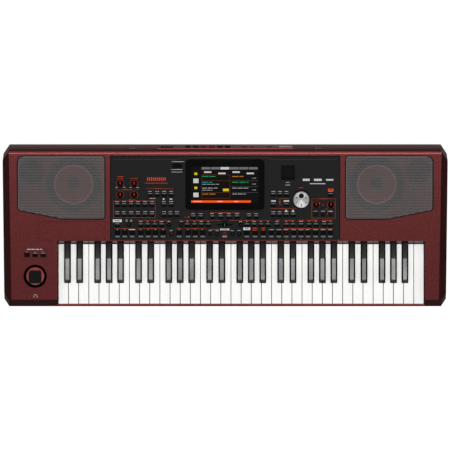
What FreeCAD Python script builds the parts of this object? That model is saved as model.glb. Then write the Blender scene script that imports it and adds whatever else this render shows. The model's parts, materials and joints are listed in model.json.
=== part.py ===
import FreeCAD, Part
import os
import Sketcher
from FreeCAD import Placement, Rotation, Vector

# A 61-key arranger keyboard: a sloping red deck between dark end cheeks, with two speakers, a
# central control panel with a display, a joystick and a row of sockets at the rear.
# X runs to the right, Y to the rear and Z up; the origin is on the floor under the middle.

SIZES = {
    # Case
    "body_width": 1037,
    "body_depth": 378.5,
    "body_height": 130,
    "deck_slope": 7.5,
    "rear_lean": 18.7,
    "front_lean": 15.4,
    "wall": 2.5,
    "nose_radius": 4.7,
    "cheek_width": 14.5,
    "cheek_front_taper": 3.2,
    "case_chamfer_run": 16,
    "case_chamfer_height": 24,
    "case_front_height": 54,
    "front_skirt_foot": 30,
    "bevel_foot": 62,
    "rear_wall_foot": 30,
    "foot_height": 6,
    "foot_radius": 11,
    "foot_inset": 60,
    "fit_gap": 0.3,
    "seam_gap": 0.5,
    "cut_overrun": 5,
    "groove_width": 0.7,
    "groove_depth": 0.6,
    # Screws and board posts
    "screw_radius": 1.5,
    "screw_length": 14,
    "screw_head_radius": 3.2,
    "screw_head_height": 2,
    "post_radius": 4,
    "post_height": 14,
    # Keys
    "key_pitch": 23.7,
    "key_gap": 1.6,
    "keys_centre": 37.3,
    "key_end_gap": 1.8,
    "key_front_gap": 1,
    "slip_top": 60,
    "slip_depth": 5.2,
    "white_key_top": 74,
    "key_height": 18,
    "white_head_length": 48,
    "key_shell": 2.2,
    "black_key_width": 14,
    "black_top_width": 9,
    "black_key_rise": 11.5,
    "black_front_run": 7,
    "key_side_gap": 1,
    "tail_width": 9,
    "tail_height": 14,
    "tail_end": 9,
    "key_travel": 10,
    "pivot_setback": 59,
    "pivot_drop": 10,
    "pivot_radius": 2.5,
    "pivot_gap": 0.1,
    "lip_margin": 2.54,
    "lip_lean": 6,
    "lip_gap": 3,
    "frame_sheet": 2,
    "felt_thickness": 3,
    "felt_width": 14,
    "contact_board_width": 30,
    "contact_board_setback": 82,
    "contact_strip_height": 5,
    "board_thickness": 1.6,
    # Control panel
    "panel_width": 532.5,
    "panel_depth": 196.5,
    "panel_rear_margin": 10.3,
    "panel_corner": 4,
    "panel_rim": 1.5,
    "panel_board_drop": 13.5,
    "panel_board_margin": 6,
    "panel_post_radius": 2.8,
    "small_button_width": 11.6,
    "small_button_depth": 9,
    "tall_button_width": 12.1,
    "tall_button_depth": 17,
    "standby_width": 21,
    "standby_depth": 9.3,
    "round_button_radius": 4.5,
    "switch_width": 12.4,
    "switch_depth": 9.5,
    "switch_spacing": 18.8,
    "switch_stick_gap": 50.1,
    "button_rise": 2,
    "button_lip": 1,
    "button_lip_height": 1.5,
    "button_travel": 1.2,
    "dome_switch_width": 6,
    "knob_radius": 6,
    "knob_skirt_radius": 7,
    "knob_height": 11,
    "knob_pointer_width": 1.2,
    "knob_stem_radius": 3,
    "knob_seat": 0.5,
    "pot_width": 12,
    "dial_radius": 19,
    "dial_height": 9,
    "dial_edge": 2,
    "dial_recess_radius": 21.4,
    "dial_recess_depth": 1,
    "dial_dimple_radius": 6,
    "dial_dimple_depth": 2,
    "dial_dimple_offset": 9.5,
    "slider_slot_length": 36.8,
    "slider_slot_width": 3,
    "slider_cap_width": 9.4,
    "slider_cap_depth": 10.7,
    "slider_cap_height": 7,
    "slider_stem_width": 5,
    "port_width": 32,
    "port_depth": 33.6,
    "port_drop": 8,
    # Display
    "glass_width": 183.8,
    "glass_depth": 118.5,
    "glass_corner": 9.5,
    "glass_thickness": 2.5,
    "glass_seat": 1,
    "lcd_width": 165,
    "lcd_depth": 97,
    "lcd_thickness": 8,
    # Speakers
    "grille_panel_gap": 13.95,
    "grille_depth": 148,
    "grille_side_margin": 20.2,
    "grille_rear_margin": 9.8,
    "grille_cut_width": 105.5,
    "grille_cut_depth": 21.4,
    "grille_corner": 7,
    "grille_outer_corner": 15,
    "grille_sheet": 1.5,
    "baffle_drop": 6,
    "woofer_radius": 64.6,
    "woofer_hole_radius": 59.5,
    "woofer_flange": 2.5,
    "woofer_depth": 42,
    "woofer_magnet_radius": 42,
    "woofer_magnet_depth": 17,
    "woofer_mouth_radius": 56,
    "woofer_distance": 76.4,
    "woofer_margin": 72.9,
    "cone_ring_radius": 44.3,
    "cone_cap_radius": 13.3,
    "cone_depth": 17,
    "cone_sheet": 1.5,
    "cone_roll": 1.4,
    "tweeter_radius": 29,
    "tweeter_hole_radius": 24,
    "tweeter_flange": 2.5,
    "tweeter_depth": 18,
    "tweeter_dome_radius": 13,
    "tweeter_distance": 46.5,
    "tweeter_margin": 33.5,
    # Faint cover outline left of the control panel
    "cover_width": 154.3,
    "cover_depth": 42,
    "cover_panel_gap": 13.45,
    "cover_grille_gap": 6.3,
    # Joystick
    "stick_side_margin": 61,
    "stick_front_margin": 55.17,
    "stick_hole_radius": 27.3,
    "stick_pivot_drop": 18,
    "stick_dome_radius": 26,
    "stick_dome_angle": 37.2,
    "stick_cap_width": 29.9,
    "stick_cap_corner": 6,
    "stick_cap_height": 8,
    "stick_cap_sink": 2,
    "stick_cap_dimple": 4.5,
    "stick_shaft_radius": 4,
    "stick_shaft_tail": 8,
    "gimbal_outer_radius": 15,
    "gimbal_inner_radius": 10,
    "gimbal_height": 8,
    "gimbal_pin_radius": 2,
    "gimbal_pin_reach": 25,
    "stick_pin_reach": 13.5,
    "stick_boss_radius": 5,
    "stick_boss_reach": 18,
    "stick_cup_radius": 28,
    "stick_cup_depth": 40,
    "stick_flange_radius": 34,
    # Rear bay and sockets
    "bay_half_width": 158,
    "bay_foot": 36,
    "bay_top": 88.6,
    "bay_plate_setback": 14.25,
    "socket_height": 60,
    "jack_bore_radius": 3.3,
    "jack_bore_depth": 18,
    "jack_body_width": 12,
    "jack_body_depth": 22,
    "jack_nose_radius": 5.5,
    "jack_nose_length": 5,
    "headphone_height": 46,
    "midi_bore_radius": 7.2,
    "midi_bore_depth": 9,
    "midi_body_width": 19,
    "midi_body_depth": 14,
    "midi_nose_length": 2.5,
    "usb_wide": 12.6,
    "usb_tall": 5.2,
    "usb_square": 8.6,
    "usb_shell": 1.2,
    "usb_depth": 12,
    "usb_nose_length": 1.5,
    "inlet_width": 24.5,
    "inlet_height": 17,
    "inlet_depth": 16,
    "inlet_shell": 2,
    "inlet_flange": 2.5,
    "rocker_width": 10,
    "rocker_height": 18,
    "rocker_rise": 3,
    "rocker_depth": 4,
    "rocker_room": 0.8,
    "rocker_tilt": 8,
    "rocker_pin_radius": 1.2,
    "rocker_pin_length": 1.6,
    "rocker_frame": 3,
    "rocker_frame_depth": 14,
    "stand_offset": 217,
    "stand_rise": 61,
    "stand_bore_radius": 3.2,
    "stand_bore_depth": 24,
    "stand_body_width": 10,
    "stand_flange_width": 14,
    "stand_flange": 1.5,
    # Inner boards
    "main_board_width": 300,
    "main_board_depth": 90,
    "board_rear_gap": 3,
    "board_side_gap": 25,
    "supply_width": 130,
    "supply_depth": 90,
    "board_chip_width": 28,
    "board_chip_height": 4,
    "supply_core_width": 48,
    "supply_core_height": 34,
}

# Places on the control panel: shares of its width from the left and of its depth from the rear.
STYLE_COLUMN_SHARES = (0.028, 0.058, 0.089, 0.119, 0.150, 0.180)
STYLE_ROW_SHARES = (0.582, 0.703)
MODE_ROW_SHARES = {
    0.460: (0.172, 0.203, 0.233, 0.264, 0.711, 0.740, 0.768, 0.962),
    0.581: (0.233, 0.264, 0.711, 0.768),
    0.703: (0.233, 0.261, 0.289, 0.711, 0.739, 0.768, 0.797),
    0.726: (0.361, 0.393, 0.444, 0.480, 0.517, 0.552, 0.604, 0.636),
}
PLAYER_COLUMN_SHARES = (0.028, 0.131, 0.161, 0.192, 0.222, 0.335, 0.366, 0.396, 0.426, 0.595, 0.627,
                        0.657, 0.687, 0.727, 0.768, 0.796, 0.832, 0.868, 0.897, 0.933, 0.961)
PLAYER_ROW_SHARE = 0.822
ROUND_ROW_SHARES = {
    0.822: (0.079, 0.254, 0.308, 0.568),
    0.929: (0.264, 0.435, 0.465, 0.531, 0.562),
    0.696: (0.896, 0.928, 0.961),
}
TALL_ROW_SHARE = 0.933
TALL_LEFT_SHARES = (0.029, 0.061, 0.093, 0.131, 0.163, 0.195, 0.228, 0.299, 0.338, 0.369, 0.402)
TALL_RIGHT_SHARES = (0.595, 0.631, 0.667, 0.702, 0.735, 0.767, 0.800, 0.832, 0.863, 0.896, 0.929, 0.960)
START_STOP_SHARE = 0.498
STANDBY_SHARES = (0.290, 0.114)
KNOB_SHARES = {
    "volume_knob": (0.041, 0.326),
    "tone_knob": (0.102, 0.326),
    "assign_knob_left": (0.041, 0.460),
    "assign_knob_right": (0.102, 0.460),
    "voice_level_knob": (0.898, 0.578),
    "voice_effect_knob": (0.963, 0.578),
}
DIAL_SHARES = (0.833, 0.515)
SLIDER_SHARES = (0.498, 0.817)
GLASS_SHARES = (0.499, 0.339)
PORT_SHARES = (0.775, 0.195)
PANEL_POST_SHARES = ((0.007, 0.06), (0.007, 0.52), (0.007, 0.94),
                     (0.993, 0.06), (0.993, 0.52), (0.993, 0.94))

# Places along the bay, as shares of its half width.
JACK_SHARES = (-0.55, -0.437, -0.323, -0.19, -0.077, 0.037)
MIDI_SHARES = (0.2, 0.34, 0.48)
USB_SQUARE_SHARE = 0.62
USB_WIDE_SHARE = 0.74
INLET_SHARE = -0.86
ROCKER_SHARE = -0.68

# How far each end cheek narrows to its outer face, and how much of it is hollow.
CHEEK_TAPER_SHARE = 0.885
CHEEK_HOLLOW_SHARE = 0.94

# Where board posts, feet and case screws stand, as shares of what they hold.
POST_SHARES = ((-0.45, 0.1), (0.45, 0.1), (-0.45, 0.9), (0.45, 0.9))
CHIP_SHARES = ((-0.3, 0.5), (0, 0.5), (0.3, 0.5))

# An octave of keys: its seven white letters, and each black key's place among them in pitches.
WHITE_LETTERS = "cdefgab"
BLACK_PLACE_SHARES = (0.90, 2.10, 3.87, 5.00, 6.13)
OCTAVES = 5

X_AXIS = Vector(1, 0, 0)
Y_AXIS = Vector(0, 1, 0)
QUARTER_TURN = 90
FULL_TURN = 360
# Turns a sketch so that it is drawn across Y and up Z.
SIDE_VIEW = Rotation(Vector(1, 1, 1), 120)

doc = FreeCAD.newDocument("ArrangerKeyboard")
sheet = doc.addObject("Spreadsheet::Sheet", "Sizes")
for row, (alias, number) in enumerate(SIZES.items(), start=1):
    sheet.set(f"A{row}", alias)
    sheet.set(f"B{row}", str(number))
    sheet.setAlias(f"B{row}", alias)
doc.recompute()


class Size:
    """A size of the sheet, or a sum of such sizes, kept as the text of an expression."""

    def __init__(self, text):
        self.text = text

    def __str__(self):
        return self.text

    def __add__(self, other):
        return Size(f"({self} + {other})")

    def __radd__(self, other):
        return Size(f"({other} + {self})")

    def __sub__(self, other):
        return Size(f"({self} - {other})")

    def __rsub__(self, other):
        return Size(f"({other} - {self})")

    def __mul__(self, share):
        return Size(f"({self} * ({share}))")

    def __truediv__(self, share):
        return Size(f"({self} / ({share}))")

    def __neg__(self):
        return Size(f"(-1 * {self})")

    def number(self):
        found = sheet.evalExpression(self.text)
        return float(getattr(found, "Value", found))


class Sheet:
    """Gives each size of the sheet under its own name."""

    def __getattr__(self, alias):
        return Size(f"Sizes.{alias}")


S = Sheet()


def call(function, angle):
    """An angle's sine, cosine or tangent as part of an expression."""
    return Size(f"{function}({angle})")


def number(size):
    return size.number() if isinstance(size, Size) else float(size)


# Lines and levels that many pieces share
FRONT = -S.body_depth / 2
REAR = S.body_depth / 2
DECK_FRONT = FRONT + S.front_lean
DECK_REAR = REAR - S.rear_lean
DECK_RUN = DECK_REAR - DECK_FRONT
DECK_LENGTH = DECK_RUN / call("cos", S.deck_slope)
DECK_HALF = S.body_width / 2 - S.cheek_width
DECK_FRONT_HEIGHT = S.body_height - DECK_RUN * call("tan", S.deck_slope)
FLOOR_TOP = S.foot_height + S.wall
KEYS_SPAN = S.key_pitch * (OCTAVES * len(WHITE_LETTERS) + 1)
KEYS_LEFT = S.keys_centre - KEYS_SPAN / 2
KEYS_RIGHT = S.keys_centre + KEYS_SPAN / 2
WELL_LEFT = KEYS_LEFT - S.key_end_gap
WELL_RIGHT = KEYS_RIGHT + S.key_end_gap
KEY_FRONT = FRONT + S.slip_depth + S.key_front_gap
KEY_FOOT = S.white_key_top - S.key_height
HEAD_REAR = KEY_FRONT + S.white_head_length
LIP_TOP = DECK_REAR - (S.panel_rear_margin + S.panel_depth + S.lip_margin) * call("cos", S.deck_slope)
NECK_REAR = LIP_TOP + S.wall * 2
PIVOT_LINE = LIP_TOP + S.pivot_setback
PIVOT_HEIGHT = S.white_key_top - S.pivot_drop
TAIL_REAR = PIVOT_LINE + S.tail_end
CONTACT_FRONT = PIVOT_LINE - S.contact_board_setback
BLACK_TOP = S.white_key_top + S.black_key_rise
FRAME_TOP = KEY_FOOT - S.key_travel - S.felt_thickness - S.seam_gap
REAR_RISE = S.body_height - S.rear_wall_foot
BAY_PLATE = REAR - S.bay_plate_setback
ROCKER_PIN = BAY_PLATE - S.rocker_pin_radius * 2
BOARD_REAR = BAY_PLATE - S.jack_body_depth - S.board_rear_gap
SUPPLY_MIDDLE = S.main_board_width / 2 + S.board_side_gap + S.supply_width / 2
GRILLE_INNER = S.panel_width / 2 + S.grille_panel_gap
GRILLE_OUTER = DECK_HALF - S.grille_side_margin
GRILLE_FRONT = S.grille_rear_margin + S.grille_depth
WOOFER_MIDDLE = GRILLE_INNER + S.woofer_margin
TWEETER_MIDDLE = GRILLE_OUTER - S.tweeter_margin
STICK_X = S.stick_side_margin - DECK_HALF
STICK_Y = S.stick_front_margin - DECK_LENGTH


def deck_height(along):
    """The height of the deck's surface at a place along Y."""
    return S.body_height - (DECK_REAR - along) * call("tan", S.deck_slope)


def rear_line(height):
    """Where along Y the leaning rear wall's outer face is at a height."""
    return REAR - (height - S.rear_wall_foot) / REAR_RISE * S.rear_lean


def on_panel(across_share, depth_share):
    """A place on the control panel in the deck's own plane."""
    return S.panel_width * (across_share - 0.5), -(S.panel_rear_margin + S.panel_depth * depth_share)


# Building blocks

def bind(thing, **sizes):
    for name, size in sizes.items():
        thing.setExpression(name, str(size))
    return thing


def place(thing, x=0, y=0, z=0):
    for letter, size in zip("xyz", (x, y, z)):
        if isinstance(size, Size):
            thing.setExpression(f"Placement.Base.{letter}", str(size))
    return thing


def on_deck(thing):
    """Lays a piece that was drawn flat onto the sloping deck."""
    thing.Placement = Placement(Vector(), Rotation(X_AXIS, QUARTER_TURN))
    thing.setExpression("Placement.Rotation.Angle", str(S.deck_slope))
    return place(thing, y=DECK_REAR, z=S.body_height)


def on_rear_wall(thing):
    """Stands a piece, drawn with Z pointing outwards, on the foot of the leaning rear wall."""
    thing.Placement = Placement(Vector(), Rotation(X_AXIS, -QUARTER_TURN))
    lean = f"atan({S.rear_lean} / {REAR_RISE}) - 90 deg"
    thing.setExpression("Placement.Rotation.Angle", lean)
    return place(thing, y=REAR, z=S.rear_wall_foot)


def block(name, x, y, z):
    """A box from three (start, end) pairs."""
    thing = doc.addObject("Part::Box", name)
    length, width, height = (end - start for start, end in (x, y, z))
    bind(thing, Length=length, Width=width, Height=height)
    return place(thing, x[0], y[0], z[0])


def around(middle, width):
    """The (start, end) pair of a width about its middle."""
    return middle - width / 2, middle + width / 2


def centred(width):
    return -width / 2, width / 2


def rod(name, radius, length, x=0, y=0, z=0, axis="z"):
    """A cylinder that starts at a point and runs along X, Y or Z."""
    thing = doc.addObject("Part::Cylinder", name)
    bind(thing, Radius=radius, Height=length)
    if axis == "x":
        thing.Placement = Placement(Vector(), Rotation(Y_AXIS, QUARTER_TURN))
    if axis == "y":
        thing.Placement = Placement(Vector(), Rotation(X_AXIS, -QUARTER_TURN))
    return place(thing, x, y, z)


def fuse(name, things):
    thing = doc.addObject("Part::MultiFuse", name)
    thing.Shapes = things
    thing.Refine = True
    return thing


def group(name, things):
    thing = doc.addObject("Part::Compound", name)
    thing.Links = things
    return thing


def cut(name, base, tools):
    thing = doc.addObject("Part::Cut", name)
    thing.Base = base
    thing.Tool = tools[0] if len(tools) == 1 else group(f"{name}_tools", tools)
    return thing


def mirrored(name, source):
    """A mirror image on the other side of the middle."""
    thing = doc.addObject("Part::Mirroring", name)
    thing.Source = source
    thing.Normal = X_AXIS
    return thing


def draw(sketch, points):
    """Draws a closed outline whose corners are held at their distances from the origin."""
    corners = [Vector(number(across), number(up), 0) for across, up in points]
    count = len(corners)
    for index, corner in enumerate(corners):
        sketch.addGeometry(Part.LineSegment(corner, corners[(index + 1) % count]))
    for index in range(count):
        sketch.addConstraint(Sketcher.Constraint("Coincident", index, 2, (index + 1) % count, 1))
    for index, point in enumerate(points):
        for kind, size in zip(("DistanceX", "DistanceY"), point):
            held = sketch.addConstraint(Sketcher.Constraint(kind, -1, 1, index, 1, number(size)))
            if isinstance(size, Size):
                sketch.setExpression(f"Constraints[{held}]", str(size))


def body_with_sketch(name, plane_role, points):
    body = doc.addObject("PartDesign::Body", name)
    sketch = body.newObject("Sketcher::SketchObject", f"{name}_sketch")
    plane = next(item for item in body.Origin.OriginFeatures if item.Role == plane_role)
    sketch.AttachmentSupport = (plane, [""])
    sketch.MapMode = "FlatFace"
    draw(sketch, points)
    return body, sketch


def padded(name, plane_role, points, length):
    """An outline pushed out along the plane's own direction."""
    body, sketch = body_with_sketch(name, plane_role, points)
    pad = body.newObject("PartDesign::Pad", f"{name}_pad")
    pad.Profile = sketch
    bind(pad, Length=length)
    return body


def run_between(name, points, x):
    """A side-view outline that runs along X from a start to an end."""
    return place(padded(name, "YZ_Plane", points, x[1] - x[0]), x=x[0])


def turned(name, points):
    """A (radius, height) outline turned once round Z."""
    body, sketch = body_with_sketch(name, "XZ_Plane", points)
    revolution = body.newObject("PartDesign::Revolution", f"{name}_revolution")
    revolution.Profile = sketch
    revolution.ReferenceAxis = (sketch, ["V_Axis"])
    revolution.Angle = FULL_TURN
    return body


def upright_edges(shape, corner, there):
    """The names of a plate's upright edges that stand at a corner, or of those that don't."""
    spot = Vector(number(corner[0]), number(corner[1]), 0)
    names = []
    for index, edge in enumerate(shape.Edges, start=1):
        foot = edge.Vertexes[0].Point
        foot.z = 0
        upright = round(abs(edge.tangentAt(edge.FirstParameter).z)) == 1
        if upright and foot.isEqual(spot, number(S.fit_gap)) == there:
            names.append(f"Edge{index}")
    return names


def rounded_plate(name, points, height, radius, last_radius=None):
    """A flat plate with its upright corners rounded; the last one can have its own radius."""
    body = padded(name, "XY_Plane", points, height)
    for there, size in ((False, radius), (True, last_radius or radius)):
        doc.recompute()
        sharp = body.Tip
        fillet = body.newObject("PartDesign::Fillet", f"{name}_corners")
        fillet.Base = (sharp, upright_edges(sharp.Shape, points[-1], there))
        bind(fillet, Radius=size)
        body.Tip = fillet
    return body


def rectangle(x, y):
    return (x[0], y[0]), (x[1], y[0]), (x[1], y[1]), (x[0], y[1])


# Case

def bottom_case():
    near = FRONT + S.wall
    outline = (
        (near, S.case_front_height),
        (near, S.case_chamfer_height),
        (near + S.case_chamfer_run, S.foot_height),
        (REAR - S.case_chamfer_run, S.foot_height),
        (REAR, S.case_chamfer_height),
        (REAR, S.rear_wall_foot),
        (REAR - S.wall, S.rear_wall_foot),
        (REAR - S.wall, S.case_chamfer_height),
        (REAR - S.case_chamfer_run, FLOOR_TOP),
        (near + S.case_chamfer_run, FLOOR_TOP),
        (near + S.wall, S.case_chamfer_height),
        (near + S.wall, S.case_front_height),
    )
    tray = run_between("case_tray", outline, (-DECK_HALF, DECK_HALF))
    parts = [tray]
    holes = []
    for x, y in screw_places():
        parts.append(rod("case_post", S.post_radius, S.post_height + S.wall, x, y, S.foot_height))
        holes.append(rod("case_pilot", S.screw_radius + S.pivot_gap, S.screw_length, x, y, S.foot_height))
    holes.append(headphone_hole("case_headphone_hole", (near, near + S.wall)))
    return cut("bottom_case", fuse("case_with_posts", parts), holes)


def headphone_hole(name, y):
    """A square hole for the headphone jack through a wall of the left arm's front."""
    width = S.jack_body_width + S.fit_gap * 2
    return block(name, around(STICK_X, width), y, around(S.headphone_height, width))


def board_place(middle, width, depth, share):
    return middle + width * share[0], BOARD_REAR - depth + depth * share[1]


def screw_places():
    """The case screws come up through the posts that carry the two inner boards."""
    main = (0, S.main_board_width, S.main_board_depth)
    supply = (SUPPLY_MIDDLE, S.supply_width, S.supply_depth)
    return [board_place(*board, share) for board in (main, supply) for share in POST_SHARES]


def case_screws():
    screws = []
    for x, y in screw_places():
        head_foot = S.foot_height - S.screw_head_height
        head = rod("screw_head", S.screw_head_radius, S.screw_head_height, x, y, head_foot)
        shank = rod("screw_shank", S.screw_radius, S.screw_length - S.seam_gap, x, y, S.foot_height)
        screws.append(fuse("screw", [head, shank]))
    return group("case_screws", screws)


def rubber_feet():
    feet = []
    for side in (-1, 1):
        for y in (FRONT + S.foot_inset, REAR - S.foot_inset):
            x = (DECK_HALF - S.foot_inset) * side
            feet.append(rod("foot", S.foot_radius, S.foot_height, x, y))
    return group("rubber_feet", feet)


def cheek_outline(share):
    """The case's side view, drawn smaller about its own middle by a share."""
    nose = S.nose_radius
    middle = S.body_height / 2
    points = (
        (FRONT + S.wall + S.case_chamfer_run, S.foot_height),
        (FRONT, S.case_chamfer_height),
        (FRONT, S.bevel_foot),
        (DECK_FRONT, DECK_FRONT_HEIGHT),
        (DECK_REAR - nose, deck_height(DECK_REAR - nose)),
        (rear_line(S.body_height - nose), S.body_height - nose),
        (REAR, S.rear_wall_foot),
        (REAR, S.case_chamfer_height),
        (REAR - S.case_chamfer_run, S.foot_height),
    )
    return [(across * share, middle + (up - middle) * share) for across, up in points]


def cheek_loft(name, sections):
    sketches = []
    for x, share in sections:
        sketch = doc.addObject("Sketcher::SketchObject", f"{name}_section")
        sketch.Placement = Placement(Vector(), SIDE_VIEW)
        place(sketch, x=x)
        draw(sketch, cheek_outline(share))
        sketches.append(sketch)
    loft = doc.addObject("Part::Loft", name)
    loft.Sections = sketches
    loft.Solid = True
    loft.Ruled = True
    return loft


def cheek_end(name, inset):
    """The room beyond a cheek's outer face, which comes inwards towards the front."""
    face = S.body_width / 2 - inset
    beyond = S.body_width / 2 + S.cut_overrun
    rear = REAR * CHEEK_TAPER_SHARE
    outline = ((face, rear), (face - S.cheek_front_taper, FRONT), (beyond, FRONT), (beyond, rear))
    return padded(name, "XY_Plane", outline, S.body_height)


def right_end_cheek():
    outer = cheek_loft("cheek_outside", ((DECK_HALF, 1), (DECK_HALF + S.cheek_width, CHEEK_TAPER_SHARE)))
    inner_share = CHEEK_TAPER_SHARE * CHEEK_HOLLOW_SHARE
    inner_face = (DECK_HALF - S.cut_overrun, CHEEK_HOLLOW_SHARE)
    outer_face = (DECK_HALF + S.cheek_width - S.wall, inner_share)
    hollow = cheek_loft("cheek_hollow", (inner_face, outer_face))
    room = cut("cheek_room", hollow, [cheek_end("cheek_room_end", S.wall)])
    return cut("right_end_cheek", outer, [room, cheek_end("cheek_end", 0)])


def left_end_cheek(right):
    return mirrored("left_end_cheek", right)


def key_slip():
    outline = (
        (FRONT, S.front_skirt_foot),
        (FRONT, S.slip_top),
        (FRONT + S.slip_depth, S.slip_top),
        (FRONT + S.slip_depth, S.slip_top - S.wall),
        (FRONT + S.wall, S.slip_top - S.wall),
        (FRONT + S.wall, S.front_skirt_foot),
    )
    return run_between("key_slip", outline, (WELL_LEFT, WELL_RIGHT))


def arm(name, x, wall_x):
    """The bevelled nose of the deck beside the keys, with its upright wall towards them."""
    nose = (
        (DECK_FRONT, DECK_FRONT_HEIGHT),
        (FRONT, S.bevel_foot),
        (FRONT, S.front_skirt_foot),
        (FRONT + S.wall, S.front_skirt_foot),
        (FRONT + S.wall, S.bevel_foot - S.wall),
        (DECK_FRONT, DECK_FRONT_HEIGHT - S.wall * 2),
        (DECK_FRONT + S.wall, DECK_FRONT_HEIGHT - S.wall),
    )
    fall = LIP_TOP
    inner = S.wall / 2
    near = FRONT + S.wall * 2 + S.fit_gap
    above_case = S.case_front_height + S.fit_gap
    cheek = (
        (near, S.front_skirt_foot),
        (near, above_case),
        (FRONT + S.wall, above_case),
        (FRONT + S.wall, S.bevel_foot - inner),
        (DECK_FRONT, DECK_FRONT_HEIGHT - inner),
        (fall, deck_height(fall) - inner),
        (fall, S.front_skirt_foot),
    )
    return [run_between(f"{name}_nose", nose, x), run_between(f"{name}_wall", cheek, wall_x)]


def key_lip():
    """The fallboard that leans down from the deck to just above the black keys."""
    top = LIP_TOP
    foot = LIP_TOP - S.lip_lean
    low = BLACK_TOP + S.lip_gap
    inner = S.wall / 2
    outline = (
        (top, deck_height(top) - inner),
        (foot, low),
        (foot + S.wall, low),
        (top + S.wall, deck_height(top + S.wall) - inner),
    )
    return run_between("key_lip", outline, (WELL_LEFT - S.wall, WELL_RIGHT + S.wall))


def grille_outline(grow):
    """The right speaker's outline in the deck's plane, with its slanted outer corner."""
    outer = GRILLE_OUTER + grow
    inner = GRILLE_INNER - grow
    rear = -S.grille_rear_margin + grow
    front = -GRILLE_FRONT - grow
    return (
        (inner, rear),
        (inner, front),
        (outer - S.grille_cut_width, front),
        (outer, front + S.grille_cut_depth),
        (outer, rear),
    )


def grille_plate(name, grow, bottom, height):
    radii = S.grille_corner + grow, S.grille_outer_corner + grow
    return place(rounded_plate(name, grille_outline(grow), height, *radii), z=bottom)


def groove(name, x, y):
    """A fine rectangular line sunk into the deck."""
    line = S.groove_width
    outside = block(f"{name}_outside", x, y, (-S.groove_depth, S.cut_overrun))
    inside = block(f"{name}_inside", (x[0] + line, x[1] - line), (y[0] + line, y[1] - line),
                   (-S.groove_depth * 2, S.cut_overrun * 2))
    return cut(name, outside, [inside])


def switch_places():
    return [(STICK_X + S.switch_spacing * step, STICK_Y + S.switch_stick_gap) for step in (-1, 0, 1)]


def driver_hole(name, radius, x, distance):
    return rod(name, radius, S.baffle_drop + S.wall + S.cut_overrun * 2, x, -distance,
               -(S.baffle_drop + S.wall + S.cut_overrun))


def top_panel():
    through = (-S.wall - S.cut_overrun, S.cut_overrun)
    fall = S.panel_rear_margin + S.panel_depth + S.lip_margin
    plate = block("deck_plate", (-DECK_HALF, DECK_HALF), (-DECK_LENGTH, -S.nose_radius), (-S.wall, 0))
    roll = rod("deck_roll", S.nose_radius, DECK_HALF * 2, -DECK_HALF, -S.nose_radius, -S.nose_radius, "x")
    beyond = (-DECK_HALF - S.cut_overrun, DECK_HALF + S.cut_overrun)
    low = -S.nose_radius * 3
    under = block("roll_underside", beyond, (low, S.nose_radius), (low, -S.nose_radius))
    inside = block("roll_inside", beyond, (low, -S.nose_radius), (low, -S.wall))
    edge = cut("deck_edge", roll, [under, inside])
    gap = S.fit_gap
    opening = grille_plate("grille_opening", gap, -S.wall - S.cut_overrun, S.wall + S.cut_overrun * 2)
    panel_x = centred(S.panel_width + gap * 2)
    panel_y = (-(S.panel_rear_margin + S.panel_depth + gap), -(S.panel_rear_margin - gap))
    cover_right = -(S.panel_width / 2 + S.cover_panel_gap)
    cover_x = (cover_right - S.cover_width, cover_right)
    cover_rear = -(GRILLE_FRONT + S.cover_grille_gap)
    cover_y = (cover_rear - S.cover_depth, cover_rear)
    holes = [
        opening,
        mirrored("left_grille_opening", opening),
        block("panel_opening", panel_x, panel_y, through),
        block("key_well", (WELL_LEFT, WELL_RIGHT), (-DECK_LENGTH - S.cut_overrun, -fall), through),
        rod("stick_hole", S.stick_hole_radius, through[1] - through[0], STICK_X, STICK_Y, through[0]),
        groove("cover_line", cover_x, cover_y),
    ]
    for x, y in switch_places():
        hole_x = around(x, S.switch_width + gap * 2)
        holes.append(block("switch_hole", hole_x, around(y, S.switch_depth + gap * 2), through))
    sheet_with_holes = cut("deck_sheet", fuse("deck_blank", [plate, edge]), holes)
    wall_top = -S.wall / 2
    baffle_foot = -(S.baffle_drop + S.wall)
    pan = grille_plate("baffle_pan", gap + S.wall, baffle_foot, wall_top - baffle_foot)
    room = grille_plate("baffle_room", gap, -S.baffle_drop, S.baffle_drop + S.cut_overrun)
    baffle = cut("baffle", pan, [
        room,
        driver_hole("woofer_hole", S.woofer_hole_radius, WOOFER_MIDDLE, S.woofer_distance),
        driver_hole("tweeter_hole", S.tweeter_hole_radius, TWEETER_MIDDLE, S.tweeter_distance),
    ])
    deck = on_deck(fuse("deck", [sheet_with_holes, baffle, mirrored("left_baffle", baffle)]))
    left = arm("left_arm", (-DECK_HALF, WELL_LEFT), (WELL_LEFT - S.wall, WELL_LEFT))
    right = arm("right_arm", (WELL_RIGHT, DECK_HALF), (WELL_RIGHT, WELL_RIGHT + S.wall))
    whole = fuse("top_panel_blank", [deck, key_lip()] + left + right)
    skirt = (FRONT - S.cut_overrun, FRONT + S.cut_overrun)
    return cut("top_panel", whole, [headphone_hole("arm_headphone_hole", skirt)])


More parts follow.
